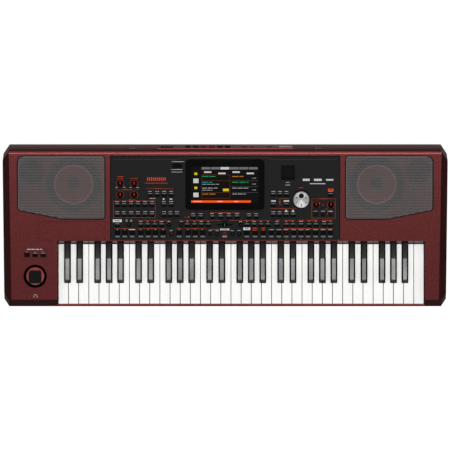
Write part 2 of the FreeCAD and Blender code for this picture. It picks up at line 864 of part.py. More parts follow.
def rear_panel():
    """The leaning rear wall with the recessed bay that holds the sockets."""
    top = S.body_height - S.nose_radius - S.seam_gap
    face = (
        (REAR, S.rear_wall_foot),
        (rear_line(top), top),
        (rear_line(top) - S.wall, top),
        (REAR - S.wall, S.rear_wall_foot),
    )
    wall_x = (-DECK_HALF, DECK_HALF)
    wall = run_between("rear_wall", face, wall_x)
    bay = centred(S.bay_half_width * 2)
    beyond = REAR + S.cut_overrun
    notch = block("bay_notch", bay, (BAY_PLATE, beyond), (S.bay_foot, S.bay_top))
    tub = block("bay_tub", (bay[0] - S.wall, bay[1] + S.wall), (BAY_PLATE - S.wall, beyond),
                (S.bay_foot - S.wall, S.bay_top + S.wall))
    inner = S.wall / 2
    outside = (
        (REAR - inner, S.rear_wall_foot),
        (rear_line(top) - inner, top),
        (beyond + S.cut_overrun, top),
        (beyond + S.cut_overrun, S.rear_wall_foot),
    )
    trimmed = cut("bay_walls", tub, [run_between("bay_trim", outside, wall_x)])
    gap = S.fit_gap * 2
    deep = (BAY_PLATE - S.wall - S.cut_overrun, BAY_PLATE + S.cut_overrun)
    holes = [notch]
    for share, width, height in socket_cutouts():
        holes.append(block("socket_hole", around(S.bay_half_width * share, width + gap), deep,
                           around(S.socket_height, height + gap)))
    stand_y = around(-S.stand_rise, S.stand_body_width + gap)
    for side in (-1, 1):
        stand_x = around(S.stand_offset * side, S.stand_body_width + gap)
        hole = block("stand_hole", stand_x, stand_y, (-S.cut_overrun, S.cut_overrun))
        holes.append(on_rear_wall(group("stand_hole_set", [hole])))
    return cut("rear_panel", fuse("rear_blank", [wall, trimmed]), holes)


def socket_cutouts():
    """Each socket's place along the bay with the width and height of its body."""
    jack = S.jack_body_width
    midi = S.midi_body_width
    shell = S.usb_shell * 2
    frame = S.rocker_frame * 2 + S.rocker_room
    cutouts = [(share, jack, jack) for share in JACK_SHARES]
    cutouts += [(share, midi, midi) for share in MIDI_SHARES]
    cutouts.append((USB_SQUARE_SHARE, S.usb_square + shell, S.usb_square + shell))
    cutouts.append((USB_WIDE_SHARE, S.usb_wide + shell, S.usb_tall + shell))
    cutouts.append((INLET_SHARE, S.inlet_width + S.inlet_shell * 2, S.inlet_height + S.inlet_shell * 2))
    cutouts.append((ROCKER_SHARE, S.rocker_width + frame, S.rocker_height + frame))
    return cutouts


# Control panel

def small_places():
    places = [(column, row) for row in STYLE_ROW_SHARES for column in STYLE_COLUMN_SHARES]
    places += [(column, row) for row, columns in MODE_ROW_SHARES.items() for column in columns]
    return places + [(column, PLAYER_ROW_SHARE) for column in PLAYER_COLUMN_SHARES]


def tall_places():
    columns = TALL_LEFT_SHARES + TALL_RIGHT_SHARES + (START_STOP_SHARE,)
    return [(column, TALL_ROW_SHARE) for column in columns]


def round_places():
    return [(column, row) for row, columns in ROUND_ROW_SHARES.items() for column in columns]


def panel_hole(name, share, width, depth):
    x, y = on_panel(*share)
    gap = S.fit_gap * 2
    return block(name, around(x, width + gap), around(y, depth + gap), (-S.wall * 3, S.cut_overrun))


def panel_bore(name, share, radius):
    x, y = on_panel(*share)
    return rod(name, radius + S.fit_gap, S.wall * 3 + S.cut_overrun, x, y, -S.wall * 3)


def control_panel():
    span = centred(S.panel_width)
    depth = (-(S.panel_rear_margin + S.panel_depth), -S.panel_rear_margin)
    plate = place(rounded_plate("panel_plate", rectangle(span, depth), S.wall, S.panel_corner), z=-S.wall)
    rim = S.panel_rim
    under = (-S.wall * 2, -S.wall)
    outer_x = (span[0] - rim, span[1] + rim)
    rim_outside = block("rim_outside", outer_x, (depth[0], depth[1] + rim), under)
    rim_inside = block("rim_inside", (span[0] + rim, span[1] - rim), (depth[0] + rim, depth[1] - rim),
                       (under[0] - S.cut_overrun, under[1]))
    parts = [plate, cut("rim", rim_outside, [rim_inside])]
    for share in PANEL_POST_SHARES:
        x, y = on_panel(*share)
        parts.append(rod("panel_post", S.panel_post_radius, S.panel_board_drop, x, y, -S.panel_board_drop))
    port_x, port_y = on_panel(*PORT_SHARES)
    tub_width = S.port_width + S.wall * 2
    tub_depth = S.port_depth + S.wall * 2
    tub_z = (-S.port_drop - S.wall, -S.wall)
    parts.append(block("port_tub", around(port_x, tub_width), around(port_y, tub_depth), tub_z))
    holes = []
    for share in small_places():
        holes.append(panel_hole("small_hole", share, S.small_button_width, S.small_button_depth))
    for share in tall_places():
        holes.append(panel_hole("tall_hole", share, S.tall_button_width, S.tall_button_depth))
    holes.append(panel_hole("standby_hole", STANDBY_SHARES, S.standby_width, S.standby_depth))
    holes.append(panel_hole("slider_slot", SLIDER_SHARES, S.slider_slot_length, S.slider_slot_width))
    holes.append(panel_hole("lcd_window", GLASS_SHARES, S.lcd_width, S.lcd_depth))
    holes += [panel_bore("round_hole", share, S.round_button_radius) for share in round_places()]
    holes += [panel_bore("knob_hole", share, S.knob_stem_radius) for share in KNOB_SHARES.values()]
    holes.append(panel_bore("dial_hole", DIAL_SHARES, S.knob_stem_radius))
    dial_x, dial_y = on_panel(*DIAL_SHARES)
    recess_foot = -S.dial_recess_depth
    holes.append(rod("dial_recess", S.dial_recess_radius, S.cut_overrun, dial_x, dial_y, recess_foot))
    port_z = (-S.port_drop, S.cut_overrun)
    holes.append(block("port", around(port_x, S.port_width), around(port_y, S.port_depth), port_z))
    glass_x, glass_y = on_panel(*GLASS_SHARES)
    gap = S.fit_gap
    seat_x = around(glass_x, S.glass_width + gap * 2)
    seat_y = around(glass_y, S.glass_depth + gap * 2)
    seat = rounded_plate("glass_seat", rectangle(seat_x, seat_y), S.cut_overrun, S.glass_corner + gap)
    holes.append(place(seat, z=-S.glass_seat))
    return on_deck(cut("control_panel", fuse("panel_blank", parts), holes))


def display_glass():
    x, y = on_panel(*GLASS_SHARES)
    outline = rectangle(around(x, S.glass_width), around(y, S.glass_depth))
    glass = rounded_plate("glass_plate", outline, S.glass_thickness, S.glass_corner)
    return on_deck(group("display_glass", [place(glass, z=-S.glass_seat)]))


def lcd_module():
    x, y = on_panel(*GLASS_SHARES)
    top = -S.glass_seat
    lcd = block("lcd", around(x, S.lcd_width), around(y, S.lcd_depth), (top - S.lcd_thickness, top))
    return on_deck(group("lcd_module", [lcd]))


def button(share, width, depth):
    return button_at(on_panel(*share), width, depth)


def button_at(place_on_deck, width, depth):
    """A push button that stands out of its panel, with a lip that holds it from behind."""
    x, y = place_on_deck
    lip = S.button_lip * 2
    lip_top = -S.wall - S.fit_gap
    lip_foot = lip_top - S.button_lip_height
    cap = block("button_cap", around(x, width), around(y, depth), (lip_foot, S.button_rise))
    flange = block("button_lip", around(x, width + lip), around(y, depth + lip), (lip_foot, lip_top))
    return fuse("button", [cap, flange])


def round_button(share):
    x, y = on_panel(*share)
    lip_top = -S.wall - S.fit_gap
    lip_foot = lip_top - S.button_lip_height
    cap = rod("round_cap", S.round_button_radius, S.button_rise - lip_foot, x, y, lip_foot)
    flange = rod("round_lip", S.round_button_radius + S.button_lip, S.button_lip_height, x, y, lip_foot)
    return fuse("round_button", [cap, flange])


def small_group(name, shares):
    buttons = [button(share, S.small_button_width, S.small_button_depth) for share in shares]
    return on_deck(group(name, buttons))


def tall_group(name, columns):
    places = [(column, TALL_ROW_SHARE) for column in columns]
    buttons = [button(share, S.tall_button_width, S.tall_button_depth) for share in places]
    return on_deck(group(name, buttons))


def style_buttons():
    places = [(column, row) for row in STYLE_ROW_SHARES for column in STYLE_COLUMN_SHARES]
    return small_group("style_buttons", places)


def mode_buttons():
    buttons = [button((column, row), S.small_button_width, S.small_button_depth)
               for row, columns in MODE_ROW_SHARES.items() for column in columns]
    buttons.append(button(STANDBY_SHARES, S.standby_width, S.standby_depth))
    return on_deck(group("mode_buttons", buttons))


def player_buttons():
    return small_group("player_buttons", [(column, PLAYER_ROW_SHARE) for column in PLAYER_COLUMN_SHARES])


def round_buttons():
    return on_deck(group("round_buttons", [round_button(share) for share in round_places()]))


def assign_switches():
    switches = [button_at(spot, S.switch_width, S.switch_depth) for spot in switch_places()]
    return on_deck(group("assign_switches", switches))


def stem_foot():
    """How deep a knob's stem reaches into its pot, just above the board."""
    return -(S.panel_board_drop - S.knob_seat)


def knob(name, share):
    x, y = on_panel(*share)
    top = S.knob_height
    outline = (
        (0, stem_foot()),
        (S.knob_stem_radius, stem_foot()),
        (S.knob_stem_radius, S.knob_seat),
        (S.knob_skirt_radius, S.knob_seat),
        (S.knob_radius, top),
        (0, top),
    )
    grip = place(turned(f"{name}_grip", outline), x, y)
    line = S.knob_pointer_width
    pointer_y = (y, y + S.knob_skirt_radius)
    pointer = block(f"{name}_pointer", around(x, line), pointer_y, (top - line, top + S.cut_overrun))
    return on_deck(cut(name, grip, [pointer]))


def value_dial():
    x, y = on_panel(*DIAL_SHARES)
    low = S.knob_seat - S.dial_recess_depth
    top = S.dial_height
    outline = (
        (0, stem_foot()),
        (S.knob_stem_radius, stem_foot()),
        (S.knob_stem_radius, low),
        (S.dial_radius, low),
        (S.dial_radius, top - S.dial_edge),
        (S.dial_radius - S.dial_edge, top),
        (0, top),
    )
    wheel = place(turned("dial_wheel", outline), x, y)
    dimple_y = y + S.dial_dimple_offset
    dimple = rod("dial_dimple", S.dial_dimple_radius, S.cut_overrun, x, dimple_y, top - S.dial_dimple_depth)
    return on_deck(cut("value_dial", wheel, [dimple]))


def balance_slider():
    x, y = on_panel(*SLIDER_SHARES)
    cap = block("slider_cap", around(x, S.slider_cap_width), around(y, S.slider_cap_depth),
                (S.knob_seat, S.knob_seat + S.slider_cap_height))
    stem = block("slider_stem", around(x, S.slider_stem_width), around(y, S.slider_slot_width),
                 (slider_body_top() + S.fit_gap, S.knob_seat))
    return on_deck(group("balance_slider", [fuse("slider", [cap, stem])]))


def slider_body_top():
    return -S.panel_board_drop / 2


def panel_board():
    """The board under the control panel, with a switch under each button and a pot under each knob."""
    top = -S.panel_board_drop
    margin = S.panel_board_margin
    span = centred(S.panel_width)
    board_y = (-(S.panel_rear_margin + S.panel_depth - margin), -(S.panel_rear_margin + margin))
    parts = [block("switch_board", span, board_y, (top - S.board_thickness, top))]
    dome_top = -S.wall - S.fit_gap - S.button_lip_height - S.button_travel - S.seam_gap
    buttons = small_places() + tall_places() + round_places() + [STANDBY_SHARES]
    for share in buttons:
        x, y = on_panel(*share)
        width = S.dome_switch_width
        parts.append(block("dome_switch", around(x, width), around(y, width), (top, dome_top)))
    for share in list(KNOB_SHARES.values()) + [DIAL_SHARES]:
        x, y = on_panel(*share)
        pot = block("pot", around(x, S.pot_width), around(y, S.pot_width), (top, -S.wall * 2))
        bore_foot = stem_foot() - S.seam_gap / 2
        bore = rod("pot_bore", S.knob_stem_radius + S.pivot_gap, S.panel_board_drop, x, y, bore_foot)
        parts.append(cut("pot_body", pot, [bore]))
    x, y = on_panel(*SLIDER_SHARES)
    slider_y = around(y, S.slider_cap_depth)
    parts.append(block("slider_body", around(x, S.slider_slot_length), slider_y, (top, slider_body_top())))
    return on_deck(group("panel_board", parts))


# Speakers

def both_sides(name, right):
    return on_deck(group(name, [right, mirrored(f"{name}_left", right)]))


def speaker_grilles():
    sheet_plate = grille_plate("grille_skin", 0, -S.baffle_drop, S.baffle_drop)
    inside = grille_plate("grille_inside", -S.grille_sheet, -S.baffle_drop - S.cut_overrun,
                          S.baffle_drop + S.cut_overrun - S.grille_sheet)
    return both_sides("speaker_grilles", cut("right_grille", sheet_plate, [inside]))


def woofer_baskets():
    flange = S.woofer_flange
    neck = S.cone_cap_radius + S.cone_sheet * 4
    step = -(S.woofer_depth - S.woofer_magnet_depth)
    outline = (
        (S.woofer_mouth_radius, flange),
        (S.woofer_radius, flange),
        (S.woofer_radius, 0),
        (S.woofer_hole_radius - S.seam_gap, 0),
        (S.woofer_hole_radius - S.seam_gap, -flange * 2),
        (neck + S.cone_sheet * 3, step),
        (S.woofer_magnet_radius, step),
        (S.woofer_magnet_radius, -S.woofer_depth),
        (0, -S.woofer_depth),
        (0, step),
        (neck, step),
        (S.woofer_mouth_radius, -flange),
    )
    basket = place(turned("right_basket", outline), WOOFER_MIDDLE, -S.woofer_distance, -S.baffle_drop)
    return both_sides("woofer_baskets", basket)


def woofer_cones():
    sheet_gap = S.cone_sheet
    rim = S.woofer_mouth_radius - S.fit_gap
    top = S.woofer_flange
    low = top - S.cone_depth
    outline = (
        (rim, top),
        ((rim + S.cone_ring_radius) / 2, top + S.cone_roll),
        (S.cone_ring_radius, top),
        (S.cone_cap_radius, low),
        (S.cone_cap_radius / 2, low + sheet_gap * 2),
        (0, low + sheet_gap * 2.5),
        (0, low + sheet_gap),
        (S.cone_cap_radius, low - sheet_gap),
        (S.cone_ring_radius, top - sheet_gap),
        (rim, top - sheet_gap),
    )
    cone = place(turned("right_cone", outline), WOOFER_MIDDLE, -S.woofer_distance, -S.baffle_drop)
    return both_sides("woofer_cones", cone)


def tweeters():
    flange = S.tweeter_flange
    dome = S.tweeter_dome_radius
    outline = (
        (S.tweeter_radius, 0),
        (S.tweeter_radius, flange),
        (S.tweeter_hole_radius, flange),
        (dome, flange / 5),
        (dome / 2, flange),
        (0, flange + S.cone_roll / 2),
        (0, -S.tweeter_depth),
        (S.tweeter_hole_radius - S.seam_gap, -S.tweeter_depth),
        (S.tweeter_hole_radius - S.seam_gap, 0),
    )
    tweeter = place(turned("right_tweeter", outline), TWEETER_MIDDLE, -S.tweeter_distance, -S.baffle_drop)
    return both_sides("tweeters", tweeter)


# Keys

def black_middle(octave, index):
    return KEYS_LEFT + S.key_pitch * (octave * len(WHITE_LETTERS) + BLACK_PLACE_SHARES[index])


def neck_sides(octave, step, top_key):
    """The left and right edges of a white key's neck, between its black neighbours."""
    left = KEYS_LEFT + S.key_pitch * (octave * len(WHITE_LETTERS) + step)
    room = S.black_key_width / 2 + S.key_side_gap
    left_black = {1: 0, 2: 1, 4: 2, 5: 3, 6: 4}.get(step)
    right_black = None if top_key else {0: 0, 1: 1, 3: 2, 4: 3, 5: 4}.get(step)
    start = left + S.key_gap / 2
    end = left + S.key_pitch - S.key_gap / 2
    if left_black is not None:
        start = black_middle(octave, left_black) + room
    if right_black is not None:
        end = black_middle(octave, right_black) - room
    return start, end


def key_tail(middle):
    tail_y = (NECK_REAR - S.key_shell, TAIL_REAR)
    return block("key_tail", around(middle, S.tail_width), tail_y, around(PIVOT_HEIGHT, S.tail_height))


def key_bore(middle):
    radius = S.pivot_radius + S.pivot_gap
    start = middle - S.tail_width
    return rod("key_bore", radius, S.tail_width * 2, start, PIVOT_LINE, PIVOT_HEIGHT, "x")


def white_key(octave, step, top_key=False):
    """A hollow white key: a full-width head, a neck between the black keys and a tail on the rod."""
    shell = S.key_shell
    left = KEYS_LEFT + S.key_pitch * (octave * len(WHITE_LETTERS) + step)
    head_x = (left + S.key_gap / 2, left + S.key_pitch - S.key_gap / 2)
    neck_x = neck_sides(octave, step, top_key)
    tall = (KEY_FOOT, S.white_key_top)
    hollow = (KEY_FOOT - S.cut_overrun, S.white_key_top - shell)
    middle = (neck_x[0] + neck_x[1]) / 2
    head_room_y = (KEY_FRONT + shell, HEAD_REAR - shell)
    neck_room_y = (HEAD_REAR - shell * 2, NECK_REAR - shell)
    solid = fuse("white_blank", [
        block("white_head", head_x, (KEY_FRONT, HEAD_REAR), tall),
        block("white_neck", neck_x, (HEAD_REAR - shell, NECK_REAR), tall),
        key_tail(middle),
    ])
    rooms = [
        block("head_room", (head_x[0] + shell, head_x[1] - shell), head_room_y, hollow),
        block("neck_room", (neck_x[0] + shell, neck_x[1] - shell), neck_room_y, hollow),
        key_bore(middle),
    ]
    return cut("white_key", solid, rooms)


def black_key(octave, index):
    """A hollow black key with leaning sides and a bevelled front."""
    middle = black_middle(octave, index)
    front = HEAD_REAR + S.key_side_gap
    rear = LIP_TOP
    half = S.black_key_width / 2
    top_half = S.black_top_width / 2
    shoulder = S.white_key_top - S.key_gap
    raised = doc.addObject("Part::Wedge", "black_top")
    bind(raised, Xmin=-half, Xmax=half, X2min=-top_half, X2max=top_half)
    raised.Ymin = raised.Zmin = raised.Z2min = 0
    bind(raised, Zmax=rear - front, Z2max=rear - front - S.black_front_run, Ymax=BLACK_TOP - shoulder)
    raised.Placement = Placement(Vector(), Rotation(X_AXIS, QUARTER_TURN))
    place(raised, middle, rear, shoulder)
    side = S.key_shell
    solid = fuse("black_blank", [
        raised,
        block("black_stem", (middle - half, middle + half), (front, NECK_REAR), (KEY_FOOT, shoulder)),
        key_tail(middle),
    ])
    rooms = [
        block("black_room", (middle - half + side, middle + half - side), (front + side, NECK_REAR - side),
              (KEY_FOOT - S.cut_overrun, shoulder - side)),
        key_bore(middle),
    ]
    return cut("black_key", solid, rooms)


def key_groups():
    """Keys in groups that can sound together: every second white key, and the black ones."""
    groups = []
    for octave in range(OCTAVES):
        number_name = octave + 1
        outer = [white_key(octave, step) for step in (0, 2, 4, 6)]
        inner = [white_key(octave, step) for step in (1, 3, 5)]
        if octave == OCTAVES - 1:
            inner.append(white_key(OCTAVES, 0, top_key=True))
        groups.append(group(f"keys_{number_name}_c_e_g_b", outer))
        groups.append(group(f"keys_{number_name}_d_f_a", inner))
        blacks = [black_key(octave, index) for index in range(len(BLACK_PLACE_SHARES))]
        groups.append(group(f"keys_{number_name}_black", blacks))
    return groups


def key_frame():
    """The folded sheet frame under the keys, with upright tabs for the rod and felts that stop the keys."""
    sheet_gap = S.frame_sheet
    front = FRONT + S.wall + S.case_chamfer_run + S.fit_gap
    rear = TAIL_REAR + S.wall
    outline = (
        (front, FLOOR_TOP),
        (front, FRAME_TOP),
        (rear, FRAME_TOP),
        (rear, FLOOR_TOP),
        (rear - sheet_gap, FLOOR_TOP),
        (rear - sheet_gap, FRAME_TOP - sheet_gap),
        (front + sheet_gap, FRAME_TOP - sheet_gap),
        (front + sheet_gap, FLOOR_TOP),
    )
    parts = [run_between("frame_channel", outline, (KEYS_LEFT, KEYS_RIGHT))]
    octave_width = S.key_pitch * len(WHITE_LETTERS)
    edges = [KEYS_LEFT + octave_width * octave for octave in range(OCTAVES + 1)]
    for edge in edges + [KEYS_RIGHT]:
        tab_y = around(PIVOT_LINE, S.tail_height)
        tab_z = (FRAME_TOP - sheet_gap / 2, PIVOT_HEIGHT + S.tail_height / 2)
        parts.append(block("frame_tab", around(edge, sheet_gap), tab_y, tab_z))
    bore_start = KEYS_LEFT - S.cut_overrun
    bore_radius = S.pivot_radius + S.pivot_gap / 2
    bore_length = KEYS_SPAN + S.cut_overrun * 2
    bore = rod("frame_bore", bore_radius, bore_length, bore_start, PIVOT_LINE, PIVOT_HEIGHT, "x")
    frame = cut("frame", fuse("frame_blank", parts), [bore])
    felt_z = (FRAME_TOP, FRAME_TOP + S.felt_thickness)
    felt_x = (KEYS_LEFT, KEYS_RIGHT)
    parts = [frame]
    for start in (front, (front + CONTACT_FRONT - S.felt_width) / 2):
        parts.append(block("stop_felt", felt_x, (start, start + S.felt_width), felt_z))
    return group("key_frame", parts)


def key_pivot_rod():
    start = KEYS_LEFT - S.frame_sheet / 2
    length = KEYS_SPAN + S.frame_sheet
    pivot = rod("pivot_rod", S.pivot_radius, length, start, PIVOT_LINE, PIVOT_HEIGHT, "x")
    return group("key_pivot_rod", [pivot])


def key_contact_board():
    x = (KEYS_LEFT, KEYS_RIGHT)
    start = CONTACT_FRONT
    y = (start, start + S.contact_board_width)
    board_top = FRAME_TOP + S.board_thickness
    board = block("contact_board", x, y, (FRAME_TOP, board_top))
    strip_y = around(start + S.contact_board_width / 2, S.contact_board_width / 2)
    strip = block("contact_strip", x, strip_y, (board_top, board_top + S.contact_strip_height))
    return group("key_contact_board", [board, strip])


# Inner boards

def board_on_posts(name, middle, width, depth, chips):
    low = FLOOR_TOP + S.post_height
    y = (BOARD_REAR - depth, BOARD_REAR)
    parts = [block(f"{name}_sheet", around(middle, width), y, (low, low + S.board_thickness))]
    for share, chip_width, chip_height in chips:
        x, chip_y = board_place(middle, width, depth, share)
        parts.append(block(f"{name}_chip", around(x, chip_width), around(chip_y, chip_width),
                           (low + S.board_thickness, low + S.board_thickness + chip_height)))
    return group(name, parts)


def main_board():
    chips = [(share, S.board_chip_width, S.board_chip_height) for share in CHIP_SHARES]
    return board_on_posts("main_board", 0, S.main_board_width, S.main_board_depth, chips)


def power_supply():
    core = [((0, 0.5), S.supply_core_width, S.supply_core_height)]
    return board_on_posts("power_supply", SUPPLY_MIDDLE, S.supply_width, S.supply_depth, core)


# Sockets

def jack(name, x, face, height, outward):
    """A jack socket: a square body behind the wall, a round nose and a blind bore along Y."""
    width = S.jack_body_width
    nose = S.jack_nose_length
    body_y = (face, face + S.jack_body_depth)
    nose_start = face - nose
    bore_start = nose_start
    if outward > 0:
        body_y = (face - S.jack_body_depth, face)
        nose_start = face
        bore_start = face + nose - S.jack_bore_depth
    body = block(f"{name}_body", around(x, width), body_y, around(height, width))
    ring = rod(f"{name}_nose", S.jack_nose_radius, nose, x, nose_start, height, "y")
    bore = rod(f"{name}_bore", S.jack_bore_radius, S.jack_bore_depth, x, bore_start, height, "y")
    return cut(name, fuse(f"{name}_blank", [body, ring]), [bore])


def line_jacks():
    jacks = []
    for share in JACK_SHARES:
        jacks.append(jack("line_jack", S.bay_half_width * share, BAY_PLATE, S.socket_height, 1))
    face = FRONT + S.jack_nose_length
    jacks.append(jack("headphone_jack", STICK_X, face, S.headphone_height, -1))
    return group("line_jacks", jacks)


def data_sockets():
    sockets = []
    deep = BAY_PLATE - S.midi_body_depth
    for share in MIDI_SHARES:
        x = S.bay_half_width * share
        outer = BAY_PLATE + S.midi_nose_length
        width = S.midi_body_width
        body = block("midi_body", around(x, width), (deep, outer), around(S.socket_height, width))
        bore_start = outer - S.midi_bore_depth
        bore = rod("midi_bore", S.midi_bore_radius, S.midi_bore_depth, x, bore_start, S.socket_height, "y")
        sockets.append(cut("midi_socket", body, [bore]))
    sizes = ((USB_SQUARE_SHARE, S.usb_square, S.usb_square), (USB_WIDE_SHARE, S.usb_wide, S.usb_tall))
    for share, width, height in sizes:
        x = S.bay_half_width * share
        outer = BAY_PLATE + S.usb_nose_length
        shell = S.usb_shell * 2
        body = block("usb_shell", around(x, width + shell), (outer - S.usb_depth - S.usb_shell, outer),
                     around(S.socket_height, height + shell))
        room = block("usb_room", around(x, width), (outer - S.usb_depth, outer + S.cut_overrun),
                     around(S.socket_height, height))
        sockets.append(cut("usb_socket", body, [room]))
    return group("data_sockets", sockets)


def power_inlet():
    x = S.bay_half_width * INLET_SHARE
    shell = S.inlet_shell * 2
    outer = BAY_PLATE + S.inlet_flange
    body_y = (outer - S.inlet_depth - S.inlet_shell, outer)
    body = block("inlet_body", around(x, S.inlet_width + shell), body_y,
                 around(S.socket_height, S.inlet_height + shell))
    room = block("inlet_room", around(x, S.inlet_width), (outer - S.inlet_depth, outer + S.cut_overrun),
                 around(S.socket_height, S.inlet_height))
    switch_x = S.bay_half_width * ROCKER_SHARE
    width = S.rocker_width + S.rocker_room
    height = S.rocker_height + S.rocker_room * 2
    frame = S.rocker_frame * 2
    back = BAY_PLATE - S.rocker_frame_depth
    casing_z = around(S.socket_height, S.rocker_height + S.rocker_room + frame)
    casing = block("rocker_casing", around(switch_x, width + frame), (back, BAY_PLATE), casing_z)
    well_y = (back + S.wall, BAY_PLATE + S.cut_overrun)
    well = block("rocker_well", around(switch_x, width), well_y, around(S.socket_height, height))
    pin_span = width + S.rocker_pin_length * 2
    pin_start = switch_x - pin_span / 2
    pin_radius = S.rocker_pin_radius + S.pivot_gap
    pin_hole = rod("rocker_pin_hole", pin_radius, pin_span, pin_start, ROCKER_PIN, S.socket_height, "x")
    return group("power_inlet", [cut("inlet", body, [room]), cut("rocker_case", casing, [well, pin_hole])])


def power_rocker():
    """The mains switch's rocker, drawn about its pin and tilted to its off position."""
    key_y = (-S.rocker_depth, S.rocker_rise)
    key = block("rocker_key", centred(S.rocker_width), key_y, centred(S.rocker_height))
    pin_span = S.rocker_width + S.rocker_pin_length * 2
    pin = rod("rocker_pin", S.rocker_pin_radius, pin_span, -pin_span / 2, axis="x")
    rocker = group("power_rocker", [fuse("rocker", [key, pin])])
    rocker.Placement = Placement(Vector(), Rotation(X_AXIS, -QUARTER_TURN))
    rocker.setExpression("Placement.Rotation.Angle", str(-S.rocker_tilt))
    return place(rocker, S.bay_half_width * ROCKER_SHARE, ROCKER_PIN, S.socket_height)


def music_stand_sockets():
    """Two blind sockets, square to the leaning rear wall, for the legs of a music stand."""
    sockets = []
    for side in (-1, 1):
        x = S.stand_offset * side
        y = -S.stand_rise
        deep = -S.stand_bore_depth
        width = S.stand_body_width
        collar = S.stand_flange_width
        body = block("stand_body", around(x, width), around(y, width), (deep - S.wall, 0))
        flange = block("stand_flange", around(x, collar), around(y, collar), (0, S.stand_flange))
        bore = rod("stand_bore", S.stand_bore_radius, S.stand_bore_depth + S.cut_overrun, x, y, deep)
        sockets.append(cut("stand_socket", fuse("stand_blank", [body, flange]), [bore]))
    return on_rear_wall(group("music_stand_sockets", sockets))


# Joystick

def at_stick(thing):
    return place(thing, STICK_X, STICK_Y)


def joystick_housing():
    """A cup under the deck with two bosses that carry the gimbal's pins."""
    top = -S.wall
    low = -(S.stick_cup_depth + S.wall)
    outer = S.stick_cup_radius + S.wall
    outline = (
        (S.stick_cup_radius, top),
        (S.stick_flange_radius, top),
        (S.stick_flange_radius, top - S.wall),
        (outer, top - S.wall),
        (outer, low),
        (0, low),
        (0, -S.stick_cup_depth),
        (S.stick_cup_radius, -S.stick_cup_depth),
    )
    cup = turned("stick_cup", outline)
    pivot = -S.stick_pivot_drop
    parts = [cup]
    reach = S.stick_cup_radius + S.wall / 2 - S.stick_boss_reach
    parts.append(rod("right_boss", S.stick_boss_radius, reach, S.stick_boss_reach, z=pivot, axis="x"))
    parts.append(rod("left_boss", S.stick_boss_radius, reach, -S.stick_boss_reach - reach, z=pivot, axis="x"))
    bore_reach = S.gimbal_pin_reach + S.fit_gap
    bore = rod("boss_bore", S.gimbal_pin_radius + S.pivot_gap, bore_reach * 2, -bore_reach, z=pivot, axis="x")
    housing = cut("stick_housing", fuse("stick_blank", parts), [bore])
    return on_deck(group("joystick_housing", [at_stick(housing)]))


def joystick_gimbal():
    pivot = -S.stick_pivot_drop
    low = pivot - S.gimbal_height / 2
    ring = rod("gimbal_ring", S.gimbal_outer_radius, S.gimbal_height, z=low)
    pin_reach = S.gimbal_pin_reach
    pin = rod("gimbal_pin", S.gimbal_pin_radius, pin_reach * 2, -pin_reach, z=pivot, axis="x")
    room_height = S.gimbal_height + S.cut_overrun * 2
    room = rod("gimbal_room", S.gimbal_inner_radius, room_height, z=low - S.cut_overrun)
    reach = S.gimbal_outer_radius + S.cut_overrun
    across = rod("gimbal_bore", S.gimbal_pin_radius + S.pivot_gap, reach * 2, y=-reach, z=pivot, axis="y")
    gimbal = cut("gimbal", fuse("gimbal_blank", [ring, pin]), [room, across])
    return on_deck(group("joystick_gimbal", [at_stick(gimbal)]))


def joystick_stick():
    """The red dome on its shaft, with a square finger cap seated on the dome."""
    pivot = -S.stick_pivot_drop
    dome = doc.addObject("Part::Sphere", "stick_dome")
    bind(dome, Radius=S.stick_dome_radius, Angle1=S.stick_dome_angle)
    place(dome, z=pivot)
    crown = pivot + S.stick_dome_radius
    shaft_foot = pivot - S.stick_shaft_tail
    shaft_length = crown - S.stick_cap_sink - shaft_foot
    shaft = rod("stick_shaft", S.stick_shaft_radius, shaft_length, z=shaft_foot)
    reach = S.stick_pin_reach
    pin = rod("stick_pin", S.gimbal_pin_radius, reach * 2, y=-reach, z=pivot, axis="y")
    stick = fuse("stick", [dome, shaft, pin])
    half = centred(S.stick_cap_width)
    pad = rounded_plate("cap_pad", rectangle(half, half), S.stick_cap_height, S.stick_cap_corner)
    cap_foot = crown - S.stick_cap_sink
    place(pad, z=cap_foot)
    dimple_foot = cap_foot + S.stick_cap_height - S.groove_depth
    dimple = rod("cap_dimple", S.stick_cap_dimple, S.cut_overrun, z=dimple_foot)
    cap = cut("cap", pad, [stick, dimple])
    return on_deck(group("joystick_stick", [at_stick(group("stick_and_cap", [stick, cap]))]))


def build():
    right_cheek = right_end_cheek()
    pieces = [bottom_case(), top_panel(), right_cheek, left_end_cheek(right_cheek), key_slip(), rear_panel()]
    pieces += [control_panel(), speaker_grilles(), woofer_baskets(), woofer_cones(), tweeters()]
    pieces += [display_glass(), lcd_module(), key_frame(), key_pivot_rod(), key_contact_board()]
    pieces += [main_board(), panel_board(), power_supply(), line_jacks(), data_sockets(), power_inlet()]
    pieces += [music_stand_sockets(), joystick_housing(), rubber_feet(), case_screws()]
    pieces += key_groups()
    pieces += [joystick_gimbal(), joystick_stick(), value_dial(), balance_slider(), power_rocker()]
    pieces += [knob(name, share) for name, share in KNOB_SHARES.items()]
    pieces += [style_buttons(), mode_buttons(), player_buttons(), round_buttons(), assign_switches()]
    pieces.append(tall_group("intro_buttons", TALL_LEFT_SHARES))
    pieces.append(tall_group("sound_buttons", TALL_RIGHT_SHARES))
    pieces.append(tall_group("start_stop_button", (START_STOP_SHARE,)))
    for piece in pieces:
        piece.Label = piece.Name
    doc.recompute()
    return pieces


def write(pieces):
    failed = [item.Name for item in doc.Objects if {"Invalid", "Error"} & set(item.State)]
    failed += [piece.Label for piece in pieces if piece.Shape.isNull() or not piece.Shape.isValid()]
    if failed:
        raise RuntimeError(f"These did not build: {failed}")
    os.makedirs("parts", exist_ok=True)
    for piece in pieces:
        solids = piece.Shape.Solids
        print(f"{piece.Label}: {len(solids)} solids, {sum(solid.Volume for solid in solids) / 1000:.1f} ml")
        piece.Shape.exportStep(f"parts/{piece.Label}.step")


write(build())
